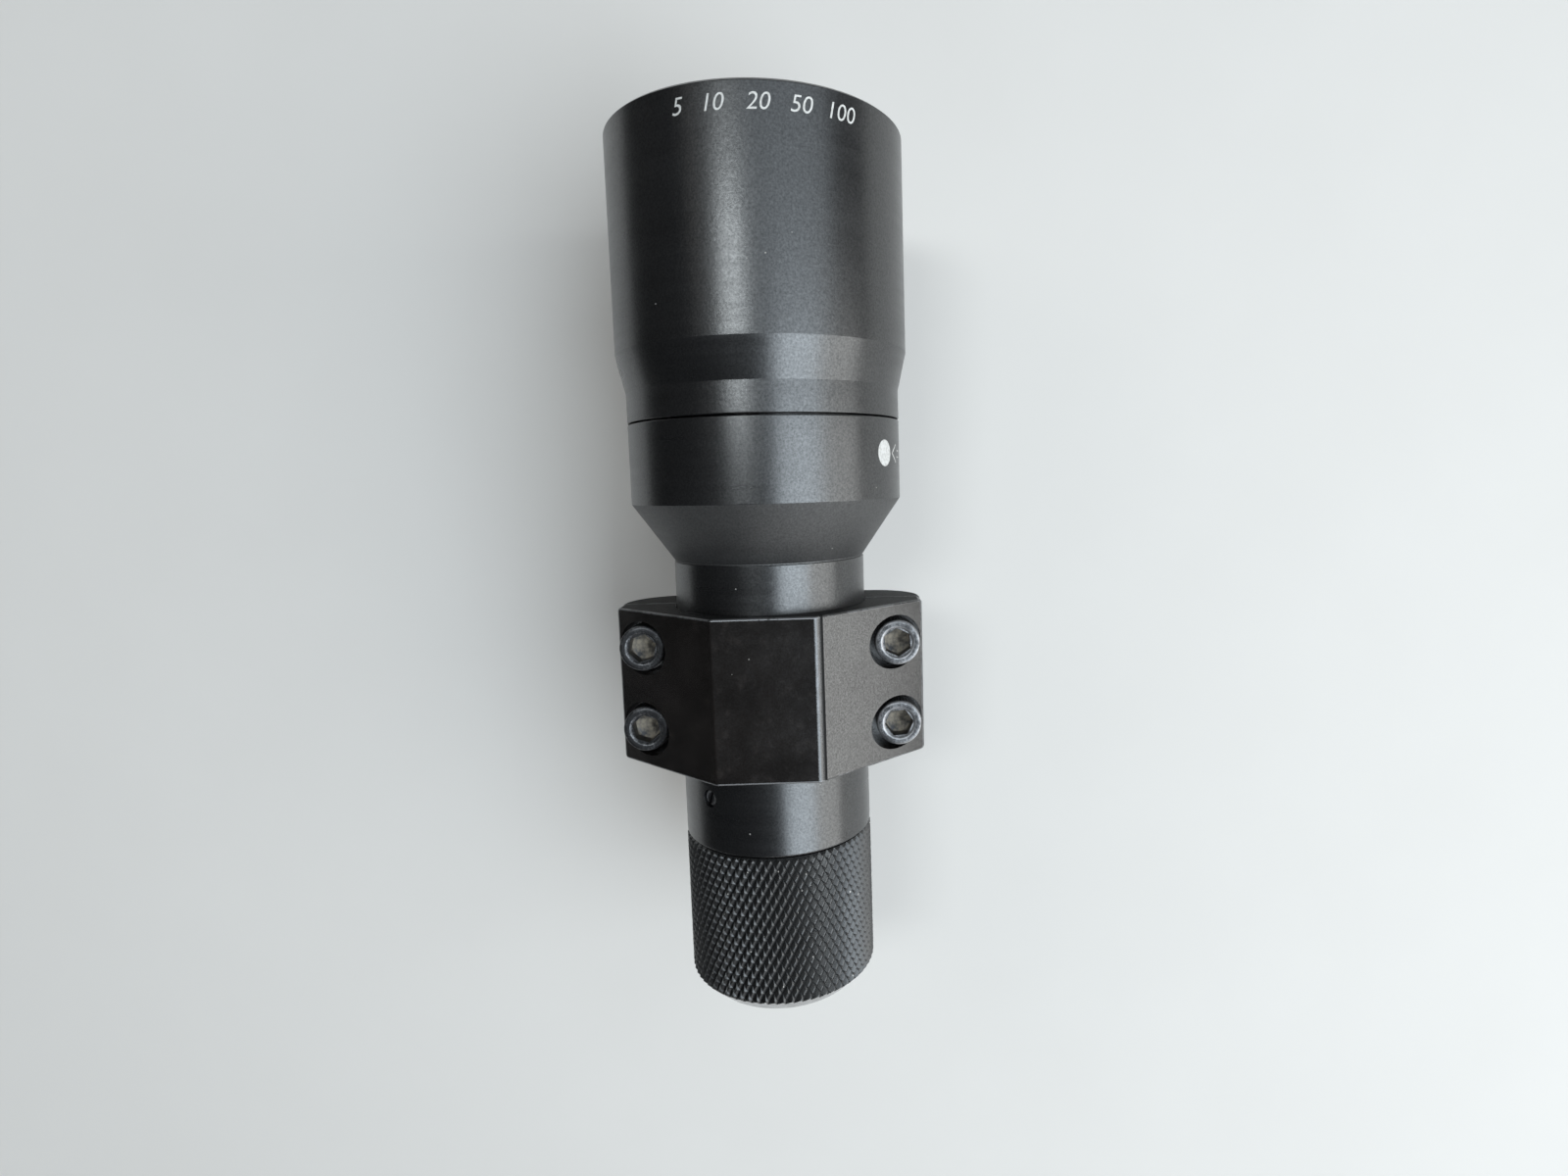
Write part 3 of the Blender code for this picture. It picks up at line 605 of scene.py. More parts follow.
add_attribute(me_set, "dirt", [0.0] * len(me_set.vertices))
set_screw = place("reticle_set_screw_fine", me_set, [STEEL], (set_at + set_out * 13.78) * MM)
set_screw.rotation_euler = (-SET_AZ, 0.0, 0.0)
slot_cut = block("cut_slot", set_at + set_out * 14.65, (0.42, 3.4, 1.1), (STEEL,))
slot_cut.rotation_mode = "QUATERNION"
slot_cut.rotation_quaternion = (Matrix.Rotation(-SET_AZ, 4, "X")
                                @ Matrix.Rotation(math.radians(70.0), 4, "Z")).to_quaternion()
bpy.context.view_layer.update()
boolean(set_screw, [slot_cut])
shade(set_screw)
done(set_screw, "main_body", "black_oxide_steel", "reticle_set_screw")

done(lathe("front_baffle_fine", [(32.6, 11.6, 0.03), (32.6, 16.6, 0.1), (31.0, 16.6, 0.1),
                                 (31.0, 11.9, 0.03)], [INNER], 128),
     "main_body", "flat_black", "front_baffle")
done(lathe("rear_baffle_fine", [(3.4, 8.3, 0.03), (3.4, 12.95, 0.1), (1.4, 12.95, 0.1),
                                (1.4, 8.6, 0.03)], [INNER], 128),
     "main_body", "flat_black", "rear_baffle")

# ----------------------------------------------------------------- focus bell
bell = lathe("focus_bell_turned", [
    (82.3, 21.80, 0.10, 0.45, 0), (81.85, 22.35, 0.14, 0.45, 0), (66.0, 22.35), (50.5, 22.35, 0.22, 0.12, 0),
    (44.85, 21.06, 0.05, 0.0, 0), (40.45, 21.06, 0.12, 0.35, 0),
    (40.45, 19.0, 0.06, 0.0, 1), (59.3, 19.0, 0.0, 0.0, 1), (59.3, 20.6, 0.0, 0.0, 1), (66.0, 20.6, 0.0, 0.0, 1)]
    + [(x, r, 0.0, 0.0, 1) for x, r in ridges(66.4, 81.2, 20.95, 20.6, 0.75)]
    + [(81.7, 20.6, 0.0, 0.0, 1), (82.3, 21.0, 0.08, 0.3, 0)],
    [BELL, INNER], segs=240)
boolean(bell, [groove_cutter("cut_focus_groove", 52.2, 6.0, math.radians(270.0), 18.3, 20.4, 2.4,
                             (BELL, INNER))])
shade(bell)
done(bell, "focus_bell", "anodised_bell", "focus_bell")

bell_ring = lathe("bell_retaining_ring_fine", [(62.0, 18.05, 0.08), (62.0, 20.2, 0.08),
                  (61.7, 20.45, 0.08), (59.45, 20.45, 0.08), (59.45, 18.05, 0.08)], [BODY], 160)
boolean(bell_ring, [block(f"cut_n{k}", (62.0, 19.3 * math.sin(a), AXIS_Z + 19.3 * math.cos(a)),
                          (1.4, 1.6, 3.2), (BODY,), (-a, 0, 0))
                    for k, a in enumerate(math.radians(d) for d in (45, 135, 225, 315))])
shade(bell_ring)
done(bell_ring, "main_body", "anodised_body", "bell_retaining_ring")
done(lathe("bell_seal_ring_fine",
           [(44.65 + 0.62 * math.cos(2 * math.pi * i / 16), 18.15 + 0.78 * math.sin(2 * math.pi * i / 16))
            for i in range(16)], [RUBBER], 128),
     "main_body", "seal_rubber", "bell_seal_ring")

# -------------------------------------------------------------- objective cell
cell = lathe("objective_cell_fine",
             [(64.5, 15.0, 0.06), (64.5, 16.35, 0.12), (46.4, 16.6, 0.1), (46.4, 14.0, 0.05)]
             + ridges(46.9, 53.2, 13.85, 13.6, 0.6)
             + [(53.8, 13.6), (53.8, 14.7)] + ridges(61.0, 64.2, 14.85, 14.7, 0.4),
             [INNER], 160)
boolean(cell, [cylinder("cut_pin", (52.2, 0.0, AXIS_Z - 15.5), (0, 0, 1), 0.92, 6.0, 32, (INNER,))])
shade(cell)
done(cell, "objective_cell", "flat_black", "objective_cell")


def lens_points(edge_r, front, rear, n=22):
    def x_of(vertex, radius, r):
        if radius == 0.0:
            return vertex
        return vertex - math.copysign(abs(radius) - math.sqrt(radius * radius - r * r), radius)
    rs = [edge_r * i / n for i in range(n + 1)]
    pts = [(x_of(*front, r), r) for r in rs]
    pts[-1] = (x_of(*front, edge_r - 0.15), edge_r - 0.15)
    back = [(x_of(*rear, r), r) for r in reversed(rs)]
    back[0] = (x_of(*rear, edge_r - 0.15), edge_r - 0.15)
    rim_f, rim_b = pts[-1][0] - 0.15, back[0][0] + 0.15
    return pts + [(rim_f, edge_r), (rim_b, edge_r)] + back


def lens(name, edge_r, front, rear, mat, body_name, slot, node):
    ob = lathe(name, lens_points(edge_r, front, rear), [mat], 128, closed=False)
    return done(ob, body_name, slot, node)


lens("objective_flint_lens_fine", 14.68, (55.54, -36.0), (53.34, -140.0), GLASS_PLAIN,
     "objective_cell", "coated_glass", "objective_flint_lens")
lens("objective_crown_lens_fine", 14.68, (63.14, 48.0), (56.54, -36.0), GLASS_FRONT,
     "objective_cell", "coated_glass", "objective_crown_lens")
done(lathe("lens_spacer_ring_fine", [(59.33, 14.66, 0.03), (58.93, 14.66, 0.03), (58.55, 13.7, 0.03),
                                     (58.95, 13.7, 0.03)], [INNER], 128),
     "objective_cell", "flat_black", "lens_spacer_ring")
obj_ring = lathe("objective_retaining_ring_fine",
                 [(63.9, 13.5, 0.05), (63.9, 14.68, 0.06), (61.75, 14.68, 0.05), (61.75, 13.2, 0.05)],
                 [INNER], 160)
boolean(obj_ring, [block(f"cut_o{k}", (63.9, 14.1 * s, AXIS_Z), (1.1, 2.4, 1.3), (INNER,))
                   for k, s in enumerate((1, -1))])
shade(obj_ring)
done(obj_ring, "objective_cell", "flat_black", "objective_retaining_ring")


def pin(name, x, r_in, r_out, body_name, node):
    bm = bmesh.new()
    bmesh.ops.create_cone(bm, cap_ends=True, segments=40, radius1=0.9 * MM, radius2=0.9 * MM,
                          depth=(r_out - r_in) * MM)
    bmesh.ops.bevel(bm, geom=[e for e in bm.edges if e.calc_face_angle(0.0) > 1.0],
                    offset=0.15 * MM, segments=3, affect="EDGES", profile=0.5)
    me = bpy.data.meshes.new(name)
    bm.to_mesh(me)
    bm.free()
    ob = place(name, me, [BRASS], Vector((x, 0.0, AXIS_Z - (r_in + r_out) / 2)) * MM)
    shade(ob)
    return done(ob, body_name, "brass_pin", node)


pin("focus_guide_pin_fine", 52.2, 14.0, 20.1, "objective_cell", "focus_guide_pin")

# --------------------------------------------------------------------- reticle
done(lathe("reticle_holder_fine", [(-18.7, 9.95, 0.04), (-18.7, 12.95, 0.1), (-23.9, 12.95, 0.1),
                                   (-23.9, 8.6, 0.04), (-22.5, 8.6, 0.04), (-22.5, 9.95)], [INNER], 128),
     "main_body", "flat_black", "reticle_holder")
lens("reticle_glass_fine", 9.9, (-20.6, 0.0), (-22.3, 0.0), GLASS_PLAIN, "main_body",
     "reticle_glass", "reticle_glass")
done(lathe("reticle_retaining_ring_fine", [(-18.9, 8.7, 0.05), (-18.9, 9.92, 0.05), (-20.5, 9.92, 0.05),
                                           (-20.5, 8.7, 0.05)], [INNER], 128),
     "main_body", "flat_black", "reticle_retaining_ring")
done(lathe("reticle_lock_ring_fine", [(-15.6, 9.6, 0.05), (-15.6, 12.95, 0.1), (-18.6, 12.95, 0.1),
                                      (-18.6, 9.6, 0.05)], [INNER], 128),
     "main_body", "flat_black", "reticle_lock_ring")
# etched cross of double lines on the glass, open in the middle
hair = bmesh.new()
for turn in range(4):
    rot = Matrix.Rotation(turn * math.pi / 2.0, 4, "X")
    for off in (-0.22, 0.22):
        res = bmesh.ops.create_cube(hair, size=1.0)
        for v in res["verts"]:
            v.co = rot @ Vector(((-20.585 + v.co.x * 0.02) * MM, (off + v.co.y * 0.05) * MM,
                                 (4.9 + v.co.z * 7.4) * MM))
me = bpy.data.meshes.new("reticle_cross_hair")
hair.to_mesh(me)
hair.free()
done(place("reticle_cross_hair", me, [INNER]), "main_body", "flat_black")


# ------------------------------------------------------------- dioptre barrel
def knurl_body(name, x0, x1, radius, depths, count, angle, mats, edge=0.030):
    """The barrel's skin as a closed body with two crossing families of V grooves.

    u and v count the grooves of the two families, so a groove lies wherever u
    or v is a whole number; both families have the same count round the piece."""
    pitch = 2.0 * math.pi * radius / count
    kappa = math.tan(angle) / pitch
    normal = pitch * math.cos(angle)
    du, dv = depths

    def stops(depth):
        w = depth / normal
        return [0.0, w - edge, w + edge, 1.0 - w - edge, 1.0 - w + edge]

    def height(frac, depth):
        dist = min(frac, 1.0 - frac) * normal
        h = depth - dist
        # crest edge eased by a small chamfer
        if abs(h) < edge * normal:
            h = (h + edge * normal) / 2.0 * 0.55
        return max(0.0, h)

    su, sv = stops(du), stops(dv)
    hu, hv = [height(f, du) for f in su], [height(f, dv) for f in sv]
    n = 5 * count
    verts, index, wear = [], {}, []
    deepest = max(du, dv)

    def vertex(U, V):
        k = U // n
        U, V = U - k * n, V - k * n
        key = (U, V)
        if key in index:
            return index[key]
        u = U // 5 + su[U % 5]
        v = V // 5 + sv[V % 5]
        h = max(hu[U % 5], hv[V % 5])
        th = math.pi * (u + v) / count
        x = (u - v) / (2.0 * kappa)
        r = radius - h
        index[key] = len(verts)
        verts.append((x * MM, r * math.sin(th) * MM, -r * math.cos(th) * MM))
        wear.append(1.0 - h / deepest)
        return index[key]

    faces = []
    for U in range(n):
        u = U / 5.0
        v_lo = int(math.floor((u - 2.0 * kappa * x1) * 5.0)) - 4
        v_hi = int(math.ceil((u - 2.0 * kappa * x0) * 5.0)) + 4
        for V in range(v_lo, v_hi):
            a, b = vertex(U, V), vertex(U + 1, V)
            c, d = vertex(U + 1, V + 1), vertex(U, V + 1)
            iu, iv = U % 5, V % 5
            if (iu in (0, 1) and iv in (0, 1)) or (iu in (3, 4) and iv in (3, 4)):
                faces += [(a, b, c), (a, c, d)]
            elif (iu in (0, 1) and iv in (3, 4)) or (iu in (3, 4) and iv in (0, 1)):
                faces += [(a, b, d), (b, c, d)]
            else:
                faces.append((a, b, c, d))
    me = bpy.data.meshes.new(name)
    me.from_pydata(verts, [], faces)
    add_attribute(me, "wear", wear)
    bm = bmesh.new()
    bm.from_mesh(me)
    for x, side in ((x0, -1.0), (x1, 1.0)):
        bmesh.ops.bisect_plane(bm, geom=bm.verts[:] + bm.edges[:] + bm.faces[:], dist=1e-8,
                               plane_co=(x * MM, 0, 0), plane_no=(side, 0, 0), clear_outer=True)
        rim = [e for e in bm.edges if e.is_boundary
               and abs(e.verts[0].co.x - x * MM) < 1e-6 and abs(e.verts[1].co.x - x * MM) < 1e-6]
        bmesh.ops.edgenet_fill(bm, edges=rim)
    bmesh.ops.recalc_face_normals(bm, faces=bm.faces[:])
    bm.to_mesh(me)
    open_edges = sum(1 for e in bm.edges if not e.is_manifold)
    bm.free()
    print("knurl faces", len(me.polygons), "open edges", open_edges)
    return place(name, me, mats)


barrel_mats = [KNURL, RIM, INNER]
barrel = knurl_body("dioptre_barrel_knurled", -48.5, -24.1, 15.06, (0.24, 0.49), 69,
                    math.radians(29.5), barrel_mats)
stock = lathe("cut_stock", [
    (-24.65, 14.62, 0.0, 0.0, 0), (-25.30, 15.27, 0.0, 0.0, 0), (-47.09, 15.27, 0.0, 0.0, 1),
    (-47.9, 14.46, 0.0, 0.0, 0),
    (-47.9, 13.85, 0.0, 0.0, 2), (-47.75, 13.72, 0.0, 0.0, 2), (-37.4, 13.72, 0.0, 0.0, 2),
    (-37.4, 12.8, 0.0, 0.0, 2), (-24.65, 12.8, 0.05, 0.0, 0)], barrel_mats, segs=256)
boolean(barrel, [stock], "INTERSECT")
boolean(barrel, [groove_cutter("cut_dioptre_groove", -31.2, 5.0, math.radians(270.0),
                               12.3, 13.7, 2.4, barrel_mats)])
shade(barrel, 24.0)
done(barrel, "dioptre_barrel", "anodised_knurl", "dioptre_barrel")

barrel_ring = lathe("barrel_retaining_ring_fine", [(-37.55, 12.3, 0.05), (-37.55, 13.65, 0.08),
                    (-39.7, 13.65, 0.08), (-39.7, 12.3, 0.05)], [BODY], 128)
done(barrel_ring, "main_body", "anodised_body", "barrel_retaining_ring")
done(lathe("barrel_seal_ring_fine",
           [(-25.9 + 0.42 * math.cos(2 * math.pi * i / 16), 12.26 + 0.5 * math.sin(2 * math.pi * i / 16))
            for i in range(16)], [RUBBER], 128),
     "main_body", "seal_rubber", "barrel_seal_ring")
eye_ring = lathe("eye_ring_fine", [
    (-46.0, 9.3, 0.1, 0.0, 0), (-46.0, 13.70, 0.08, 0.0, 0), (-47.93, 13.70, 0.0, 0.0, 0),
    (-47.93, 14.43, 0.0, 0.0, 1), (-49.74, 12.62, 0.12, 0.0, 1), (-49.8, 12.35, 0.0, 0.0, 0),
    (-49.8, 11.95, 0.10, 0.3, 0)]
    + [(x, r, 0.0, 0.0, 2) for x, r in ((-49.3, 11.45), (-49.0, 11.45), (-48.6, 11.05), (-48.3, 11.05),
                                        (-47.9, 10.65), (-47.6, 10.65), (-47.2, 10.2), (-46.6, 9.6))],
    [BODY, RIM, INNER], 224)
boolean(eye_ring, [block(f"cut_e{k}", (-49.8, 12.0 * s, AXIS_Z), (1.4, 1.3, 1.3), (BODY, RIM, INNER))
                   for k, s in enumerate((1, -1))])
shade(eye_ring)
done(eye_ring, "dioptre_barrel", "anodised_body", "eye_ring")

# --------------------------------------------------------------- eyepiece cell
eye_cell = lathe("eyepiece_cell_fine",
                 [(-27.0, 8.4, 0.05), (-27.0, 10.75, 0.12), (-43.0, 10.75, 0.15, 0.2, 0),
                  (-43.0, 9.6, 0.08)] + ridges(-42.7, -40.2, 9.45, 9.25, 0.4)
                 + [(-28.2, 9.35), (-28.2, 8.4, 0.05)], [INNER], 160)
boolean(eye_cell, [cylinder("cut_pin2", (-31.2, 0.0, AXIS_Z - 10.4), (0, 0, 1), 0.92, 4.0, 32, (INNER,))])
shade(eye_cell)
done(eye_cell, "eyepiece_cell", "flat_black", "eyepiece_cell")
lens("field_lens_fine", 9.24, (-28.4, 0.0), (-32.5, -22.0), GLASS_EYE, "eyepiece_cell",
     "coated_glass", "field_lens")
done(lathe("eyepiece_spacer_tube_fine", [(-31.2, 8.3, 0.05), (-31.2, 9.24, 0.05), (-37.1, 9.24, 0.05),
                                         (-37.1, 8.3, 0.05)], [INNER], 128),
     "eyepiece_cell", "flat_black", "eyepiece_spacer_tube")
lens("eye_lens_fine", 9.24, (-35.6, 20.0), (-40.2, 0.0), GLASS_EYE, "eyepiece_cell",
     "coated_glass", "eye_lens")
eye_ret = lathe("eyepiece_retaining_ring_fine", [(-40.3, 8.2, 0.05), (-40.3, 9.24, 0.05),
                (-42.6, 9.24, 0.08, 0.2, 0), (-42.6, 8.4, 0.08, 0.2, 0)], [INNER], 128)
boolean(eye_ret, [block(f"cut_r{k}", (-42.6, 8.8 * s, AXIS_Z), (1.2, 1.6, 1.2), (INNER,))
                  for k, s in enumerate((1, -1))])
shade(eye_ret)
done(eye_ret, "eyepiece_cell", "flat_black", "eyepiece_retaining_ring")
pin("dioptre_guide_pin_fine", -31.2, 9.7, 13.6, "eyepiece_cell", "dioptre_guide_pin")


# ----------------------------------------------------------------- ring clamp
def extruded(name, outline, half_len, mats, bevel, edge_slot=1, segs=3, end_slot=0):
    """A (y, z about the axis) outline drawn out along X, its edges eased."""
    bm = bmesh.new()
    front = [bm.verts.new((half_len * MM, y * MM, z * MM)) for y, z in outline]
    rear = [bm.verts.new((-half_len * MM, y * MM, z * MM)) for y, z in outline]
    for ring in (front, rear):
        bm.faces.new(ring).material_index = end_slot
    for i in range(len(outline)):
        j = (i + 1) % len(outline)
        bm.faces.new((front[i], front[j], rear[j], rear[i]))
    bmesh.ops.recalc_face_normals(bm, faces=bm.faces[:])
    me = bpy.data.meshes.new(name)
    bm.to_mesh(me)
    bm.free()
    ob = place(name, me, mats)
    mod = ob.modifiers.new("edges", "BEVEL")
    mod.width = bevel * MM
    mod.segments = segs
    mod.limit_method = "ANGLE"
    mod.angle_limit = math.radians(22.0)
    mod.material = edge_slot
    mod.harden_normals = False
    return apply_all(ob)


def arc(cy, cz, r, a0, a1, count):
    return [(cy + r * math.cos(math.radians(a0 + (a1 - a0) * i / count)),
             cz + r * math.sin(math.radians(a0 + (a1 - a0) * i / count))) for i in range(count + 1)]


HALF = 12.14
clamp_mats = [CLAMP, CLAMP_EDGE, CLAMP_RUBBED]


def eased(before, at, after, cut, slot, steps=4):
    """A corner of an outline rounded off: points with the slot of the face after each."""
    a, m, b = Vector(before), Vector(at), Vector(after)
    p = m + (a - m).normalized() * cut
    q = m + (b - m).normalized() * cut
    out = []
    for i in range(steps + 1):
        t = i / steps
        c = p * (1 - t) ** 2 + m * 2 * t * (1 - t) + q * t ** 2
        out.append((c.x, c.y, slot if i < steps else 0))
    return out


def rolled_prism(name, outline, wide, half_len, mats, roll, corner, bands):
    """A body drawn out along X from outline(half width), a list of (y, z, slot).

    Its end edges are rolled over by roll, and the standing corners at the
    sides are rounded by corner. bands gives the slot of the rolled end band
    next to a face of a given slot."""
    stations = sorted({half_len - corner * (1.0 - math.sin(math.radians(a))) for a in range(0, 76, 15)}
                      | {half_len - roll * (1.0 - math.sin(math.radians(a))) for a in range(0, 91, 18)})
    stations = [-x for x in stations[::-1]] + stations
    bm = bmesh.new()
    rings = []
    for x in stations:
        over = max(0.0, abs(x) - (half_len - roll))
        side = max(0.0, abs(x) - (half_len - corner))
        inset = roll - math.sqrt(max(0.0, roll ** 2 - over ** 2))
        narrow = corner - math.sqrt(max(0.0, corner ** 2 - side ** 2))
        shape = outline(wide - max(0.0, narrow - inset))
        pts = [Vector((y, z)) for y, z, _ in shape]
        n = len(pts)
        area = sum(pts[i].x * pts[(i + 1) % n].y - pts[(i + 1) % n].x * pts[i].y for i in range(n))
        turn = 1.0 if area > 0 else -1.0
        ring = []
        for i in range(n):
            d1 = (pts[i] - pts[i - 1]).normalized()
            d2 = (pts[(i + 1) % n] - pts[i]).normalized()
            n1, n2 = Vector((-d1.y, d1.x)) * turn, Vector((-d2.y, d2.x)) * turn
            c = pts[i] + (n1 + n2) / (1.0 + n1.dot(n2)) * inset
            ring.append(bm.verts.new((x * MM, c.x * MM, c.y * MM)))
        rings.append(ring)
    slots = [slot for _, _, slot in outline(wide)]
    for k in range(len(rings) - 1):
        end = max(abs(stations[k]), abs(stations[k + 1])) > half_len - roll + 1e-6
        for i in range(n):
            j = (i + 1) % n
            face = bm.faces.new((rings[k][i], rings[k][j], rings[k + 1][j], rings[k + 1][i]))
            face.material_index = bands.get(slots[i], slots[i]) if end else slots[i]
    for ring in (rings[0], rings[-1]):
        bm.faces.new(ring).material_index = len(mats) - 1
    bmesh.ops.recalc_face_normals(bm, faces=bm.faces[:])
    me = bpy.data.meshes.new(name)
    bm.to_mesh(me)
    bm.free()
    return place(name, me, mats)


# painted shade: a near-black matt material for the small groove beside the right roll, standing in for the
# shadow in that step
PAINTED_SHADE = flat_black("painted_shade_groove", (0.0045, 0.0040, 0.0036), 0.85)
clamp_mats.append(PAINTED_SHADE)
# The top flat (slot 4, so its end bands can be rubbed brighter) ends on the
# right in a rubbed roll with a painted shade line in a small groove beside it,
# on the left in a plain one.
clamp_mats += [CLAMP, worn_edge("clamp_end_edge", (0.0100, 0.0095, 0.0092), 0.80, 0.50, 0.24), CLAMP_END]
roll_right = [(7.22 + 1.07 * math.sin(t), 16.40 + 1.07 * math.cos(t))
              for t in (math.radians(d) for d in (0, 10, 20, 30, 40, 50, 60))]
roll_left = [(7.22 + 0.78 * math.sin(t), 16.69 + 0.78 * math.cos(t))
             for t in (math.radians(d) for d in (0, 10, 20, 30, 40))]


def cap_outline(w):
    """The cap's section for a half width of w."""
    edge = (w, 16.79 - (w - 8.31) * 0.8502)
    foot_of_ear = (w, 0.14)
    # slot 3 is the small groove beside the right roll, coloured with the painted shade material
    out = [(y, z, 2) for y, z in roll_right[:-1]] + [(*roll_right[-1], 3), (8.30, 16.58, 3), (8.52, 16.61, 0)]
    out += eased((8.52, 16.61), edge, foot_of_ear, 0.42, 1)
    out += eased(edge, foot_of_ear, (0.0, 0.14), 0.50, 1, 3)
    out += eased((0.0, 0.14), (-w, 0.14), (-w, edge[1]), 0.50, 1, 3)
    out += eased((-w, 0.14), (-w, edge[1]), (-8.31, 16.79), 0.42, 1)
    out += [(-y, z, 0) for y, z in roll_left[::-1][:-1]] + [(-roll_left[0][0], roll_left[0][1], 4)]
    return [(-y, z, slot) for y, z, slot in out]


cap = rolled_prism("clamp_cap_fine", cap_outline, 24.0, HALF, clamp_mats, 0.30, 0.60,
                   {0: 1, 4: 5, 2: 5, 1: 1, 3: 3})
corner = arc(16.0, -1.2, 8.0, 0.0, -90.0, 14)
base = extruded("clamp_base_fine",
                [(24.0, -0.14)] + corner + [(13.4, -10.6), (13.4, 8.02 - AXIS_Z),
                                            (-13.4, 8.02 - AXIS_Z), (-13.4, -10.6)]
                + [(-y, z) for y, z in corner][::-1] + [(-24.0, -0.14)], HALF, clamp_mats, 0.30, end_slot=6)


def bore_cutter(name):
    return lathe(name, [(20.0, 0.0), (20.0, 15.28), (HALF, 15.28), (HALF - 0.25, 15.03),
                        (-HALF + 0.25, 15.03), (-HALF, 15.28), (-20.0, 15.28), (-20.0, 0.0)],
                 clamp_mats, 192, closed=False)


SCREWS = [("front_left", 1, 1), ("front_right", 1, -1), ("rear_left", -1, 1), ("rear_right", -1, -1)]
cap_cuts, base_cuts = [bore_cutter("cut_bore_a")], [bore_cutter("cut_bore_b")]
for label, sx, sy in SCREWS:
    at = (sx * 6.35 - (0.15 if sy < 0 else 0.0), sy * 19.45, AXIS_Z)
    cap_cuts.append(cylinder("cut_pocket", (at[0], at[1], AXIS_Z + 3.62 + 8.0), (0, 0, 1), 4.16, 16.0,
                             96, clamp_mats))
    cap_cuts.append(cylinder("cut_hole", (at[0], at[1], AXIS_Z), (0, 0, 1), 2.2, 20.0, 48, clamp_mats))
    base_cuts.append(cylinder("cut_hole_b", (at[0], at[1], AXIS_Z - 4.0), (0, 0, 1), 2.05, 20.0, 48,
                              clamp_mats))
for sx in (1, -1):
    base_cuts.append(cylinder("cut_foot_b", (sx * 8.0, 0.0, 12.0), (0, 0, 1), 2.05, 14.0, 48, clamp_mats))
boolean(cap, cap_cuts)
boolean(base, base_cuts)
for ob in (cap, base):
    shade(ob, 30.0)
    flats = ob.modifiers.new("flats", "WEIGHTED_NORMAL")
    flats.keep_sharp = True
    apply_all(ob)
done(cap, "main_body", "anodised_clamp", "clamp_cap")
done(base, "main_body", "anodised_clamp", "clamp_base")


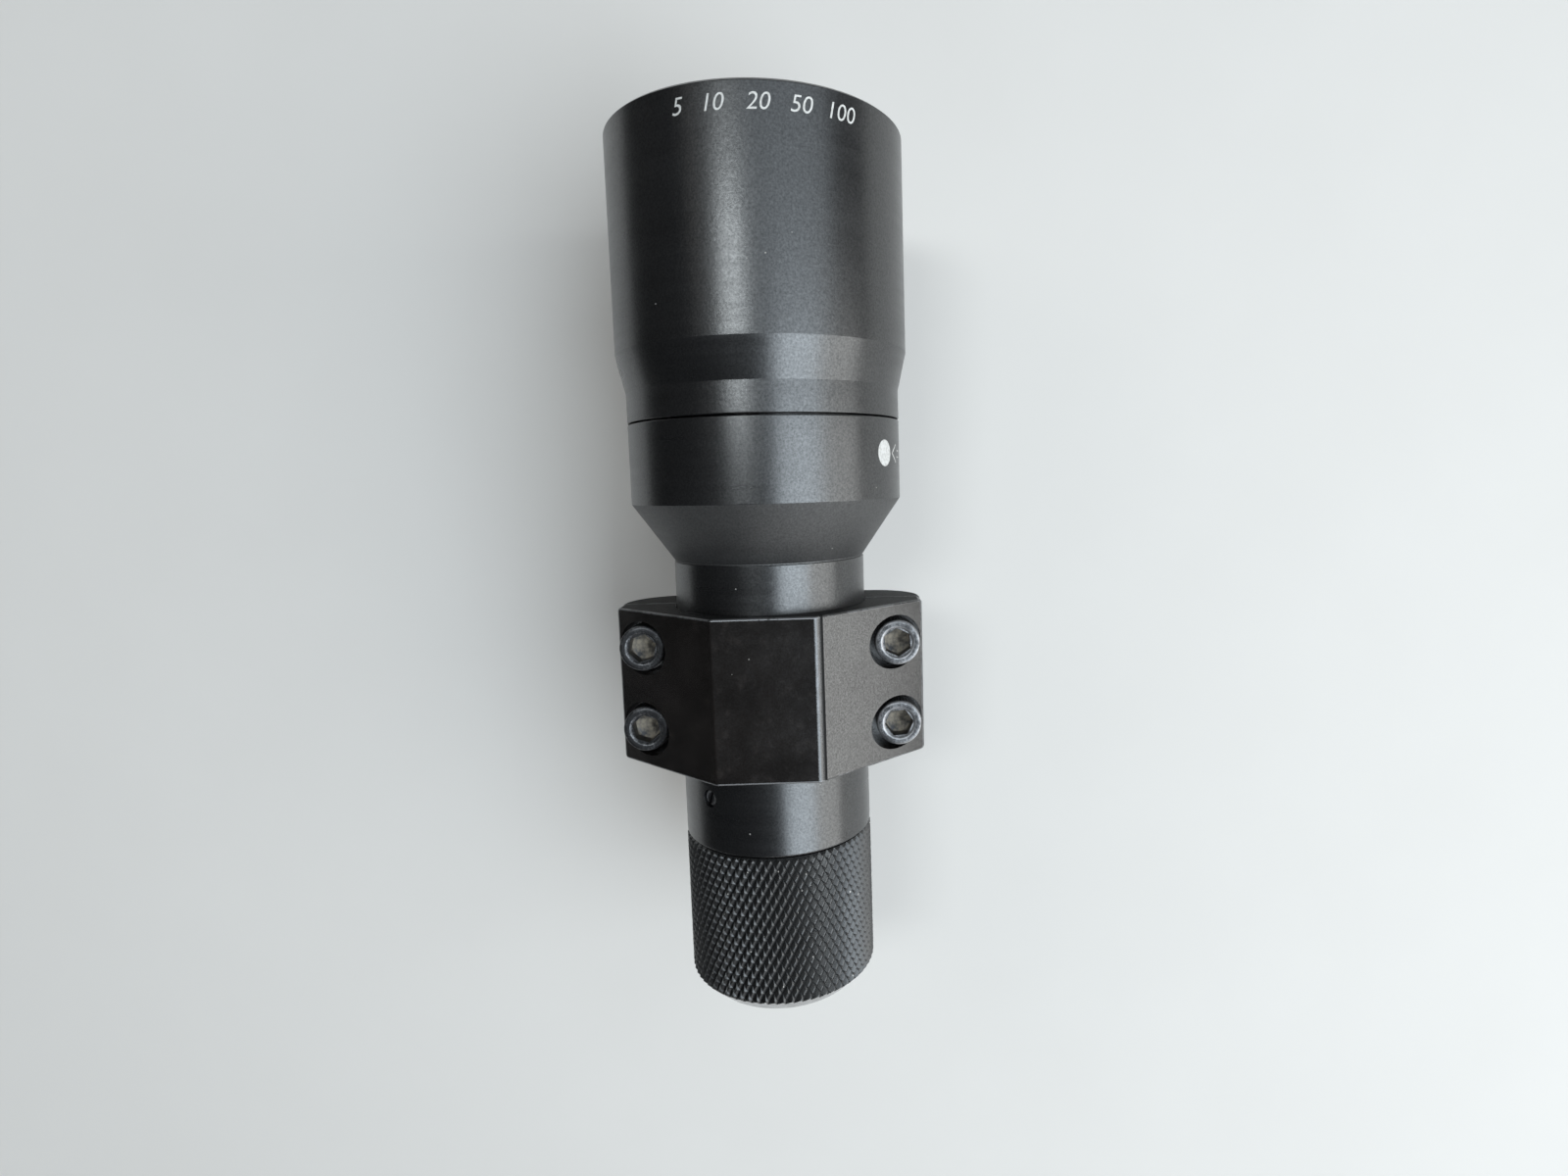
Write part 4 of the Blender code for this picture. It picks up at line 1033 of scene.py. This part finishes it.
# ------------------------------------------------------------------- screws
def cap_screw_mesh():
    """M4 socket head cap screw, head up, its seat at z = 0: fine straight knurl
    on the head's side, chamfered rim, hexagon socket with a drilled bottom."""
    teeth, per = 44, 6
    segs = teeth * per
    # (r, z, knurl weight, wear)
    prof = [(0.0, -11.0, 0, 0.1), (1.45, -11.0, 0, 0.3), (1.95, -10.5, 0, 0.2), (1.95, -0.15, 0, 0.0),
            (2.1, 0.0, 0, 0.0), (3.30, 0.0, 0, 0.1), (3.42, 0.12, 0.4, 0.2), (3.5, 0.35, 1.0, 0.2),
            (3.5, 3.45, 1.0, 0.3), (3.5, 3.56, 0.5, 0.45), (3.46, 3.72, 0.0, 0.6), (3.38, 3.86, 0.0, 0.75),
            (3.26, 3.95, 0.0, 0.6), (3.10, 4.0, 0, 0.40), (2.9, 4.0, 0, 0.36), (2.66, 4.0, 0, 0.40),
            (2.55, 3.99, 0, 0.65), (2.47, 3.95, 0, 0.8), (2.22, 3.72, 0, 0.5)]
    co, wear, dirt = [], [], []
    for i in range(segs):
        a = 2 * math.pi * i / segs
        tooth = (0.5 + 0.5 * math.cos(2 * math.pi * (i % per) / per))
        for r, z, k, w in prof:
            rr = r - 0.10 * k * tooth
            co.append((rr * math.cos(a) * MM, rr * math.sin(a) * MM, z * MM))
            wear.append(w)
            dirt.append(0.0)
    m = len(prof)
    faces = []
    for i in range(segs):
        j = (i + 1) % segs
        for k in range(m - 1):
            faces.append((i * m + k, j * m + k, j * m + k + 1, i * m + k + 1))
    # socket: from the countersink's foot circle down to the hexagon's walls
    hexr = 3.9 / 2.0 / math.cos(math.pi / 6.0)

    def hex_radius(a):
        b = (a + math.pi / 6.0) % (math.pi / 3.0) - math.pi / 6.0
        return 3.9 / 2.0 / math.cos(b)
    start = len(co)
    rows = [(3.72, 0.0, 0.35, 0.0), (3.60, 0.02, 0.25, 0.0), (1.75, 0.05, 0.10, 0.45)]
    for i in range(segs):
        a = 2 * math.pi * i / segs
        for z, ease, w, d in rows:
            rr = min(hex_radius(a), 2.20)
            co.append((rr * math.cos(a) * MM, rr * math.sin(a) * MM, z * MM))
            wear.append(w)
            dirt.append(d)
    q = len(rows)
    for i in range(segs):
        j = (i + 1) % segs
        faces.append((i * m + m - 1, j * m + m - 1, start + j * q, start + i * q))
        for k in range(q - 1):
            faces.append((start + i * q + k, start + j * q + k, start + j * q + k + 1, start + i * q + k + 1))
    # flat web between the walls and the drilled cone, then the cone
    inner = len(co)
    cone = [(1.90, 1.75, 0.25, 0.9), (1.80, 1.72, 0.25, 0.9), (0.9, 1.22, 0.3, 1.0), (0.25, 0.86, 0.3, 1.0)]
    for i in range(segs):
        a = 2 * math.pi * i / segs
        for r, z, w, d in cone:
            co.append((r * math.cos(a) * MM, r * math.sin(a) * MM, z * MM))
            wear.append(w)
            dirt.append(d)
    c = len(cone)
    for i in range(segs):
        j = (i + 1) % segs
        faces.append((start + i * q + q - 1, start + j * q + q - 1, inner + j * c, inner + i * c))
        for k in range(c - 1):
            faces.append((inner + i * c + k, inner + j * c + k, inner + j * c + k + 1, inner + i * c + k + 1))
    tip = len(co)
    co.append((0.0, 0.0, 0.72 * MM))
    wear.append(0.3)
    dirt.append(1.0)
    for i in range(segs):
        j = (i + 1) % segs
        faces.append((inner + i * c + c - 1, inner + j * c + c - 1, tip))
    me = bpy.data.meshes.new("m4_cap_screw")
    me.from_pydata(co, [], faces)
    add_attribute(me, "wear", wear)
    add_attribute(me, "dirt", dirt)
    bm = bmesh.new()
    bm.from_mesh(me)
    bmesh.ops.remove_doubles(bm, verts=bm.verts[:], dist=2e-7)
    bad = [f for f in bm.faces if f.calc_area() < 1e-16]
    if bad:
        bmesh.ops.delete(bm, geom=bad, context="FACES")
    bmesh.ops.recalc_face_normals(bm, faces=bm.faces[:])
    bm.to_mesh(me)
    print("screw faces", len(bm.faces), "open edges", sum(1 for e in bm.edges if not e.is_manifold))
    bm.free()
    return me


screw_me = cap_screw_mesh()
turns = {"front_left": 17.0, "front_right": 94.0, "rear_left": 41.0, "rear_right": 5.0}
for label, sx, sy in SCREWS:
    me = screw_me.copy()
    if sy > 0:
        # painted shade: the screws on the left lie on the shaded side, so their rubbed grey is cut back and they
        # read darker
        old = np.zeros(len(me.vertices), np.float32)
        me.attributes["wear"].data.foreach_get("value", old)
        me.attributes["wear"].data.foreach_set("value", old * 0.55)
    me.transform(Matrix.Rotation(math.radians(turns[label]), 4, "Z"))
    ob = place(f"clamp_screw_{label}_fine", me, [STEEL],
               Vector((sx * 6.35 - (0.25 if sy < 0 else 0.0), sy * 19.5 - (0.25 if sy < 0 else 0.0),
                       AXIS_Z + 3.64)) * MM)
    shade(ob, 30.0)
    done(ob, "main_body", "black_oxide_steel", f"clamp_screw_{label}")
for label, sx, turn in (("front", 1, 12.0), ("rear", -1, 49.0)):
    me = screw_me.copy()
    ob = place(f"foot_screw_{label}_fine", me, [STEEL], Vector((sx * 8.0, 0.0, 4.76)) * MM)
    ob.rotation_euler = (math.pi, 0.0, math.radians(turn))
    shade(ob, 30.0)
    done(ob, "main_body", "black_oxide_steel", f"foot_screw_{label}")
bpy.data.meshes.remove(screw_me)

# --------------------------------------------------------------- dovetail foot
foot_mats = [FOOT, FOOT_EDGE]
foot = extruded("dovetail_foot_fine",
                [(y, z - AXIS_Z) for y, z in ((-16.0, 0.0), (16.0, 0.0), (16.0, 1.2), (13.4, 8.0),
                                              (-13.4, 8.0), (-16.0, 1.2))],
                22.5, foot_mats, 0.30)
foot_cuts = []
for sx in (1, -1):
    foot_cuts.append(cylinder("cut_fh", (sx * 8.0, 0.0, 8.0), (0, 0, 1), 2.2, 20.0, 48, foot_mats))
    foot_cuts.append(cylinder("cut_fp", (sx * 8.0, 0.0, 0.0), (0, 0, 1), 4.1, 9.56, 96, foot_mats))
boolean(foot, foot_cuts)
shade(foot, 30.0)
done(foot, "main_body", "anodised_foot", "dovetail_foot")


# --------------------------------------------------------------- painted marks
def on_cylinder(name, tris_2d, radius, lift, sink, mats, body_name, slot):
    """A flat drawing laid round the axis as a thin solid skin.

    tris_2d is (verts, faces) with verts as (x along the axis, arc length), arc
    zero at the top (+Z) and growing towards -Y; all in millimetres."""
    verts, faces = tris_2d
    bm = bmesh.new()

    def at(x, s, r):
        a = s / radius
        return Vector((x, -r * math.sin(a), r * math.cos(a))) * MM
    top = [bm.verts.new(at(x, s, radius + lift)) for x, s in verts]
    low = [bm.verts.new(at(x, s, radius - sink)) for x, s in verts]
    for f in faces:
        bm.faces.new([top[i] for i in f])
        bm.faces.new([low[i] for i in reversed(f)])
    count = {}
    for f in faces:
        for i in range(len(f)):
            e = (f[i], f[(i + 1) % len(f)])
            count[tuple(sorted(e))] = count.get(tuple(sorted(e)), 0) + 1
    for f in faces:
        for i in range(len(f)):
            a, b = f[i], f[(i + 1) % len(f)]
            if count[tuple(sorted((a, b)))] == 1:
                bm.faces.new((top[a], low[a], low[b], top[b]))
    bmesh.ops.recalc_face_normals(bm, faces=bm.faces[:])
    me = bpy.data.meshes.new(name)
    bm.to_mesh(me)
    bm.free()
    ob = place(name, me, mats)
    return done(shade(ob, 40.0), body_name, slot)


def disc(cx, cs, radius, rings=5, spokes=48):
    verts, faces = [(cx, cs)], []
    for k in range(1, rings + 1):
        for i in range(spokes):
            a = 2 * math.pi * i / spokes
            verts.append((cx + radius * k / rings * math.cos(a), cs + radius * k / rings * math.sin(a)))
    for i in range(spokes):
        faces.append((0, 1 + i, 1 + (i + 1) % spokes))
    for k in range(1, rings):
        for i in range(spokes):
            j = (i + 1) % spokes
            a, b = 1 + (k - 1) * spokes, 1 + k * spokes
            faces.append((a + i, b + i, b + j, a + j))
    return verts, faces


def stroke(x0, s0, x1, s1, width, n=8):
    """A straight painted line from (x0, s0) to (x1, s1)."""
    d = Vector((x1 - x0, s1 - s0))
    side = Vector((-d.y, d.x)).normalized() * (width / 2)
    verts, faces = [], []
    for i in range(n + 1):
        c = Vector((x0, s0)) + d * (i / n)
        verts += [tuple(c + side), tuple(c - side)]
    for i in range(n):
        faces.append((2 * i, 2 * i + 1, 2 * i + 3, 2 * i + 2))
    return verts, faces


def joined(*parts):
    verts, faces = [], []
    for v, f in parts:
        k = len(verts)
        verts += v
        faces += [tuple(i + k for i in q) for q in f]
    return verts, faces


RING_R = 21.06
dot_s = math.radians(60.0) * RING_R
on_cylinder("index_dot", disc(35.0, dot_s, 1.93), RING_R, 0.012, 0.05, [WHITE], "main_body",
            "anodised_body")
ray_s = [math.radians(a) * RING_R for a in (67.5, 72.0, 77.5, 80.5)]
on_cylinder("index_rays", joined(
    stroke(35.0, ray_s[0], 36.35, ray_s[1] + 0.25, 0.20),
    stroke(35.0, ray_s[0], 33.65, ray_s[1] + 0.25, 0.20),
    stroke(35.42, ray_s[2] - 1.0, 35.42, ray_s[2] + 0.2, 0.18),
    stroke(34.45, ray_s[2] - 1.0, 34.45, ray_s[2] + 0.2, 0.18)),
    RING_R, 0.010, 0.05, [WHITE], "main_body", "anodised_body")


def text_shape(body, height, slant=0.0, weight=0.0):
    """Numerals from the built-in face as a flat triangulated drawing, in mm."""
    cu = bpy.data.curves.new("numeral", "FONT")
    cu.body = body
    cu.size = 1.0
    cu.resolution_u = 6
    cu.fill_mode = "FRONT"
    cu.offset = weight
    tmp = bpy.data.objects.new("numeral", cu)
    scene.collection.objects.link(tmp)
    bpy.context.view_layer.update()
    me = bpy.data.meshes.new_from_object(tmp.evaluated_get(bpy.context.evaluated_depsgraph_get()))
    bpy.data.objects.remove(tmp, do_unlink=True)
    bpy.data.curves.remove(cu)
    bm = bmesh.new()
    bm.from_mesh(me)
    bmesh.ops.remove_doubles(bm, verts=bm.verts[:], dist=1e-5)
    bmesh.ops.triangulate(bm, faces=bm.faces[:])
    xs = [v.co.x for v in bm.verts]
    ys = [v.co.y for v in bm.verts]
    k = height / (max(ys) - min(ys))
    x_mid, y_lo = (min(xs) + max(xs)) / 2.0, min(ys)
    bm.verts.index_update()
    verts = [((v.co.y - y_lo) * k, (v.co.x - x_mid) * k + (v.co.y - y_lo) * k * slant) for v in bm.verts]
    faces = [tuple(v.index for v in f.verts) for f in bm.faces]
    bm.free()
    bpy.data.meshes.remove(me)
    width = (max(xs) - min(xs)) * k
    return verts, faces, width


BELL_R = 22.35
pieces = []
for label, az in (("5", -21.5), ("10", -8.5), ("20", 6.0), ("50", 20.5), ("100", 36.0)):
    v, f, w = text_shape(label, 2.15, 0.22, -0.004)
    s0 = math.radians(az) * BELL_R
    pieces.append(([(78.25 + x, s0 + s) for x, s in v], f))
on_cylinder("distance_numerals", joined(*pieces), BELL_R, 0.010, 0.04, [WHITE], "focus_bell",
            "anodised_bell")


# ------------------------------------------------------- floor, light, camera
def floor_material():
    s = Shader("studio_floor")
    n = s.noise(s.p, 30.0, 3.0, 0.5)
    s.set(Base_Color=s.mix(n, (0.625, 0.60, 0.57), (0.655, 0.63, 0.60)), Roughness=0.75)
    return s.mat


bm = bmesh.new()
bmesh.ops.create_grid(bm, x_segments=8, y_segments=8, size=4.0)
me = bpy.data.meshes.new("studio_floor")
bm.to_mesh(me)
bm.free()
floor = place("studio_floor", me, [floor_material()], Vector((0, 0, 0)))

world = bpy.data.worlds.new("studio")
scene.world = world
world.use_nodes = True
bg = world.node_tree.nodes["Background"]
bg.inputs["Color"].default_value = (0.92, 0.95, 1.0, 1.0)
bg.inputs["Strength"].default_value = 0.045


def patch(name, tilt, lean, radiance, colour, distance=0.85):
    """A soft box that covers a patch of the sky seen from the object.

    tilt is its span in degrees from straight up towards -Y, lean its span
    along the axis as the x part of the direction."""
    mid = math.radians(sum(tilt) / 2.0)
    width = 2.0 * distance * math.tan(math.radians(tilt[1] - tilt[0]) / 2.0)
    x0, x1 = (distance * math.tan(math.asin(v)) for v in lean)
    z = Vector((0.0, -math.sin(mid), math.cos(mid)))
    x = Vector((1.0, 0.0, 0.0))
    y = z.cross(x)
    at = Vector((0.015, 0.0, 0.045)) + z * distance + x * ((x0 + x1) / 2.0)
    light = bpy.data.lights.new(name, "AREA")
    light.shape = "RECTANGLE"
    light.size, light.size_y = x1 - x0, width
    light.energy = radiance * math.pi * (x1 - x0) * width
    light.color = colour
    ob = bpy.data.objects.new(name, light)
    ob.matrix_world = Matrix(((x.x, y.x, z.x, at.x), (x.y, y.y, z.y, at.y), (x.z, y.z, z.z, at.z),
                              (0, 0, 0, 1)))
    scene.collection.objects.link(ob)
    ob.visible_camera = False
    return ob


SKY = (0.82, 0.92, 1.0)
patch("window_near", (13.0, 49.0), (-0.62, 0.17), 5.4, SKY)
patch("window_far", (49.0, 86.0), (-0.62, 0.17), 2.9, (0.98, 1.0, 0.99))
patch("window_front", (-6.0, 60.0), (0.17, 0.60), 1.35, SKY)
patch("lamp", (-24.0, -7.0), (0.17, 0.33), 15.5, (0.90, 0.97, 1.0))
# a pale wall low down behind, on the right
card = bpy.data.lights.new("rear_wall", "AREA")
card.shape = "RECTANGLE"
card.size, card.size_y = 1.1, 0.42
card.energy = 1.5 * math.pi * 1.1 * 0.42
card_ob = bpy.data.objects.new("rear_wall", card)
card_dir = Vector((-0.93, -0.36, 0.0)).normalized()
card_x = Vector((0.0, 0.0, 1.0)).cross(card_dir)
card_at = card_dir * 1.0 + Vector((0.0, 0.0, 0.235))
card_ob.matrix_world = Matrix(((card_x.x, 0.0, card_dir.x, card_at.x), (card_x.y, 0.0, card_dir.y, card_at.y),
                               (0.0, 1.0, 0.0, card_at.z), (0, 0, 0, 1)))
scene.collection.objects.link(card_ob)
card_ob.visible_camera = False
patch("left_fill", (-64.0, -40.0), (0.20, 0.60), 1.3, (1.0, 0.96, 0.92))

# a black flag stands outside the frame on the left, as the dark tube beside it does
def flag_material():
    s = Shader("black_flag")
    n = s.noise(s.p, 260.0, 4.0, 0.6)
    s.set(Base_Color=s.mix(n, (0.004, 0.004, 0.004), (0.014, 0.014, 0.014)), Roughness=0.95)
    return s.mat


bm = bmesh.new()
bmesh.ops.create_grid(bm, x_segments=8, y_segments=8, size=0.5)
me = bpy.data.meshes.new("black_flag")
bm.to_mesh(me)
bm.free()
flag = place("black_flag", me, [flag_material()], Vector((0, 0, 0)))
flag.matrix_world = (Matrix.Translation((0.02, 0.185, 0.125)) @ Matrix.Rotation(math.radians(90.0), 4, "X")
                     @ Matrix.Diagonal((0.62, 0.25, 1.0, 1.0)))
flag.visible_camera = False
flag.visible_shadow = False
flag.visible_diffuse = False

cam_data = bpy.data.cameras.new("camera")
cam = bpy.data.objects.new("camera", cam_data)
scene.collection.objects.link(cam)
right = (-0.02675984, -0.99948915, 0.0174743)
up = (0.99407121, -0.02844953, -0.10494306)
back = (0.10538659, 0.01456244, 0.9943247)
cam.matrix_world = Matrix(((right[0], up[0], back[0], 0.0314147),
                           (right[1], up[1], back[1], -0.0108943),
                           (right[2], up[2], back[2], 0.1705936), (0, 0, 0, 1)))
cam_data.sensor_width = 36.0
cam_data.lens = 842.878 / 1600.0 * 36.0
cam_data.shift_x = -(867.35 - 800.0) / 1600.0
cam_data.shift_y = (577.485 - 600.0) / 1600.0
cam_data.clip_start = 0.005
cam_data.clip_end = 50.0
scene.camera = cam

scene.view_settings.view_transform = "Standard"
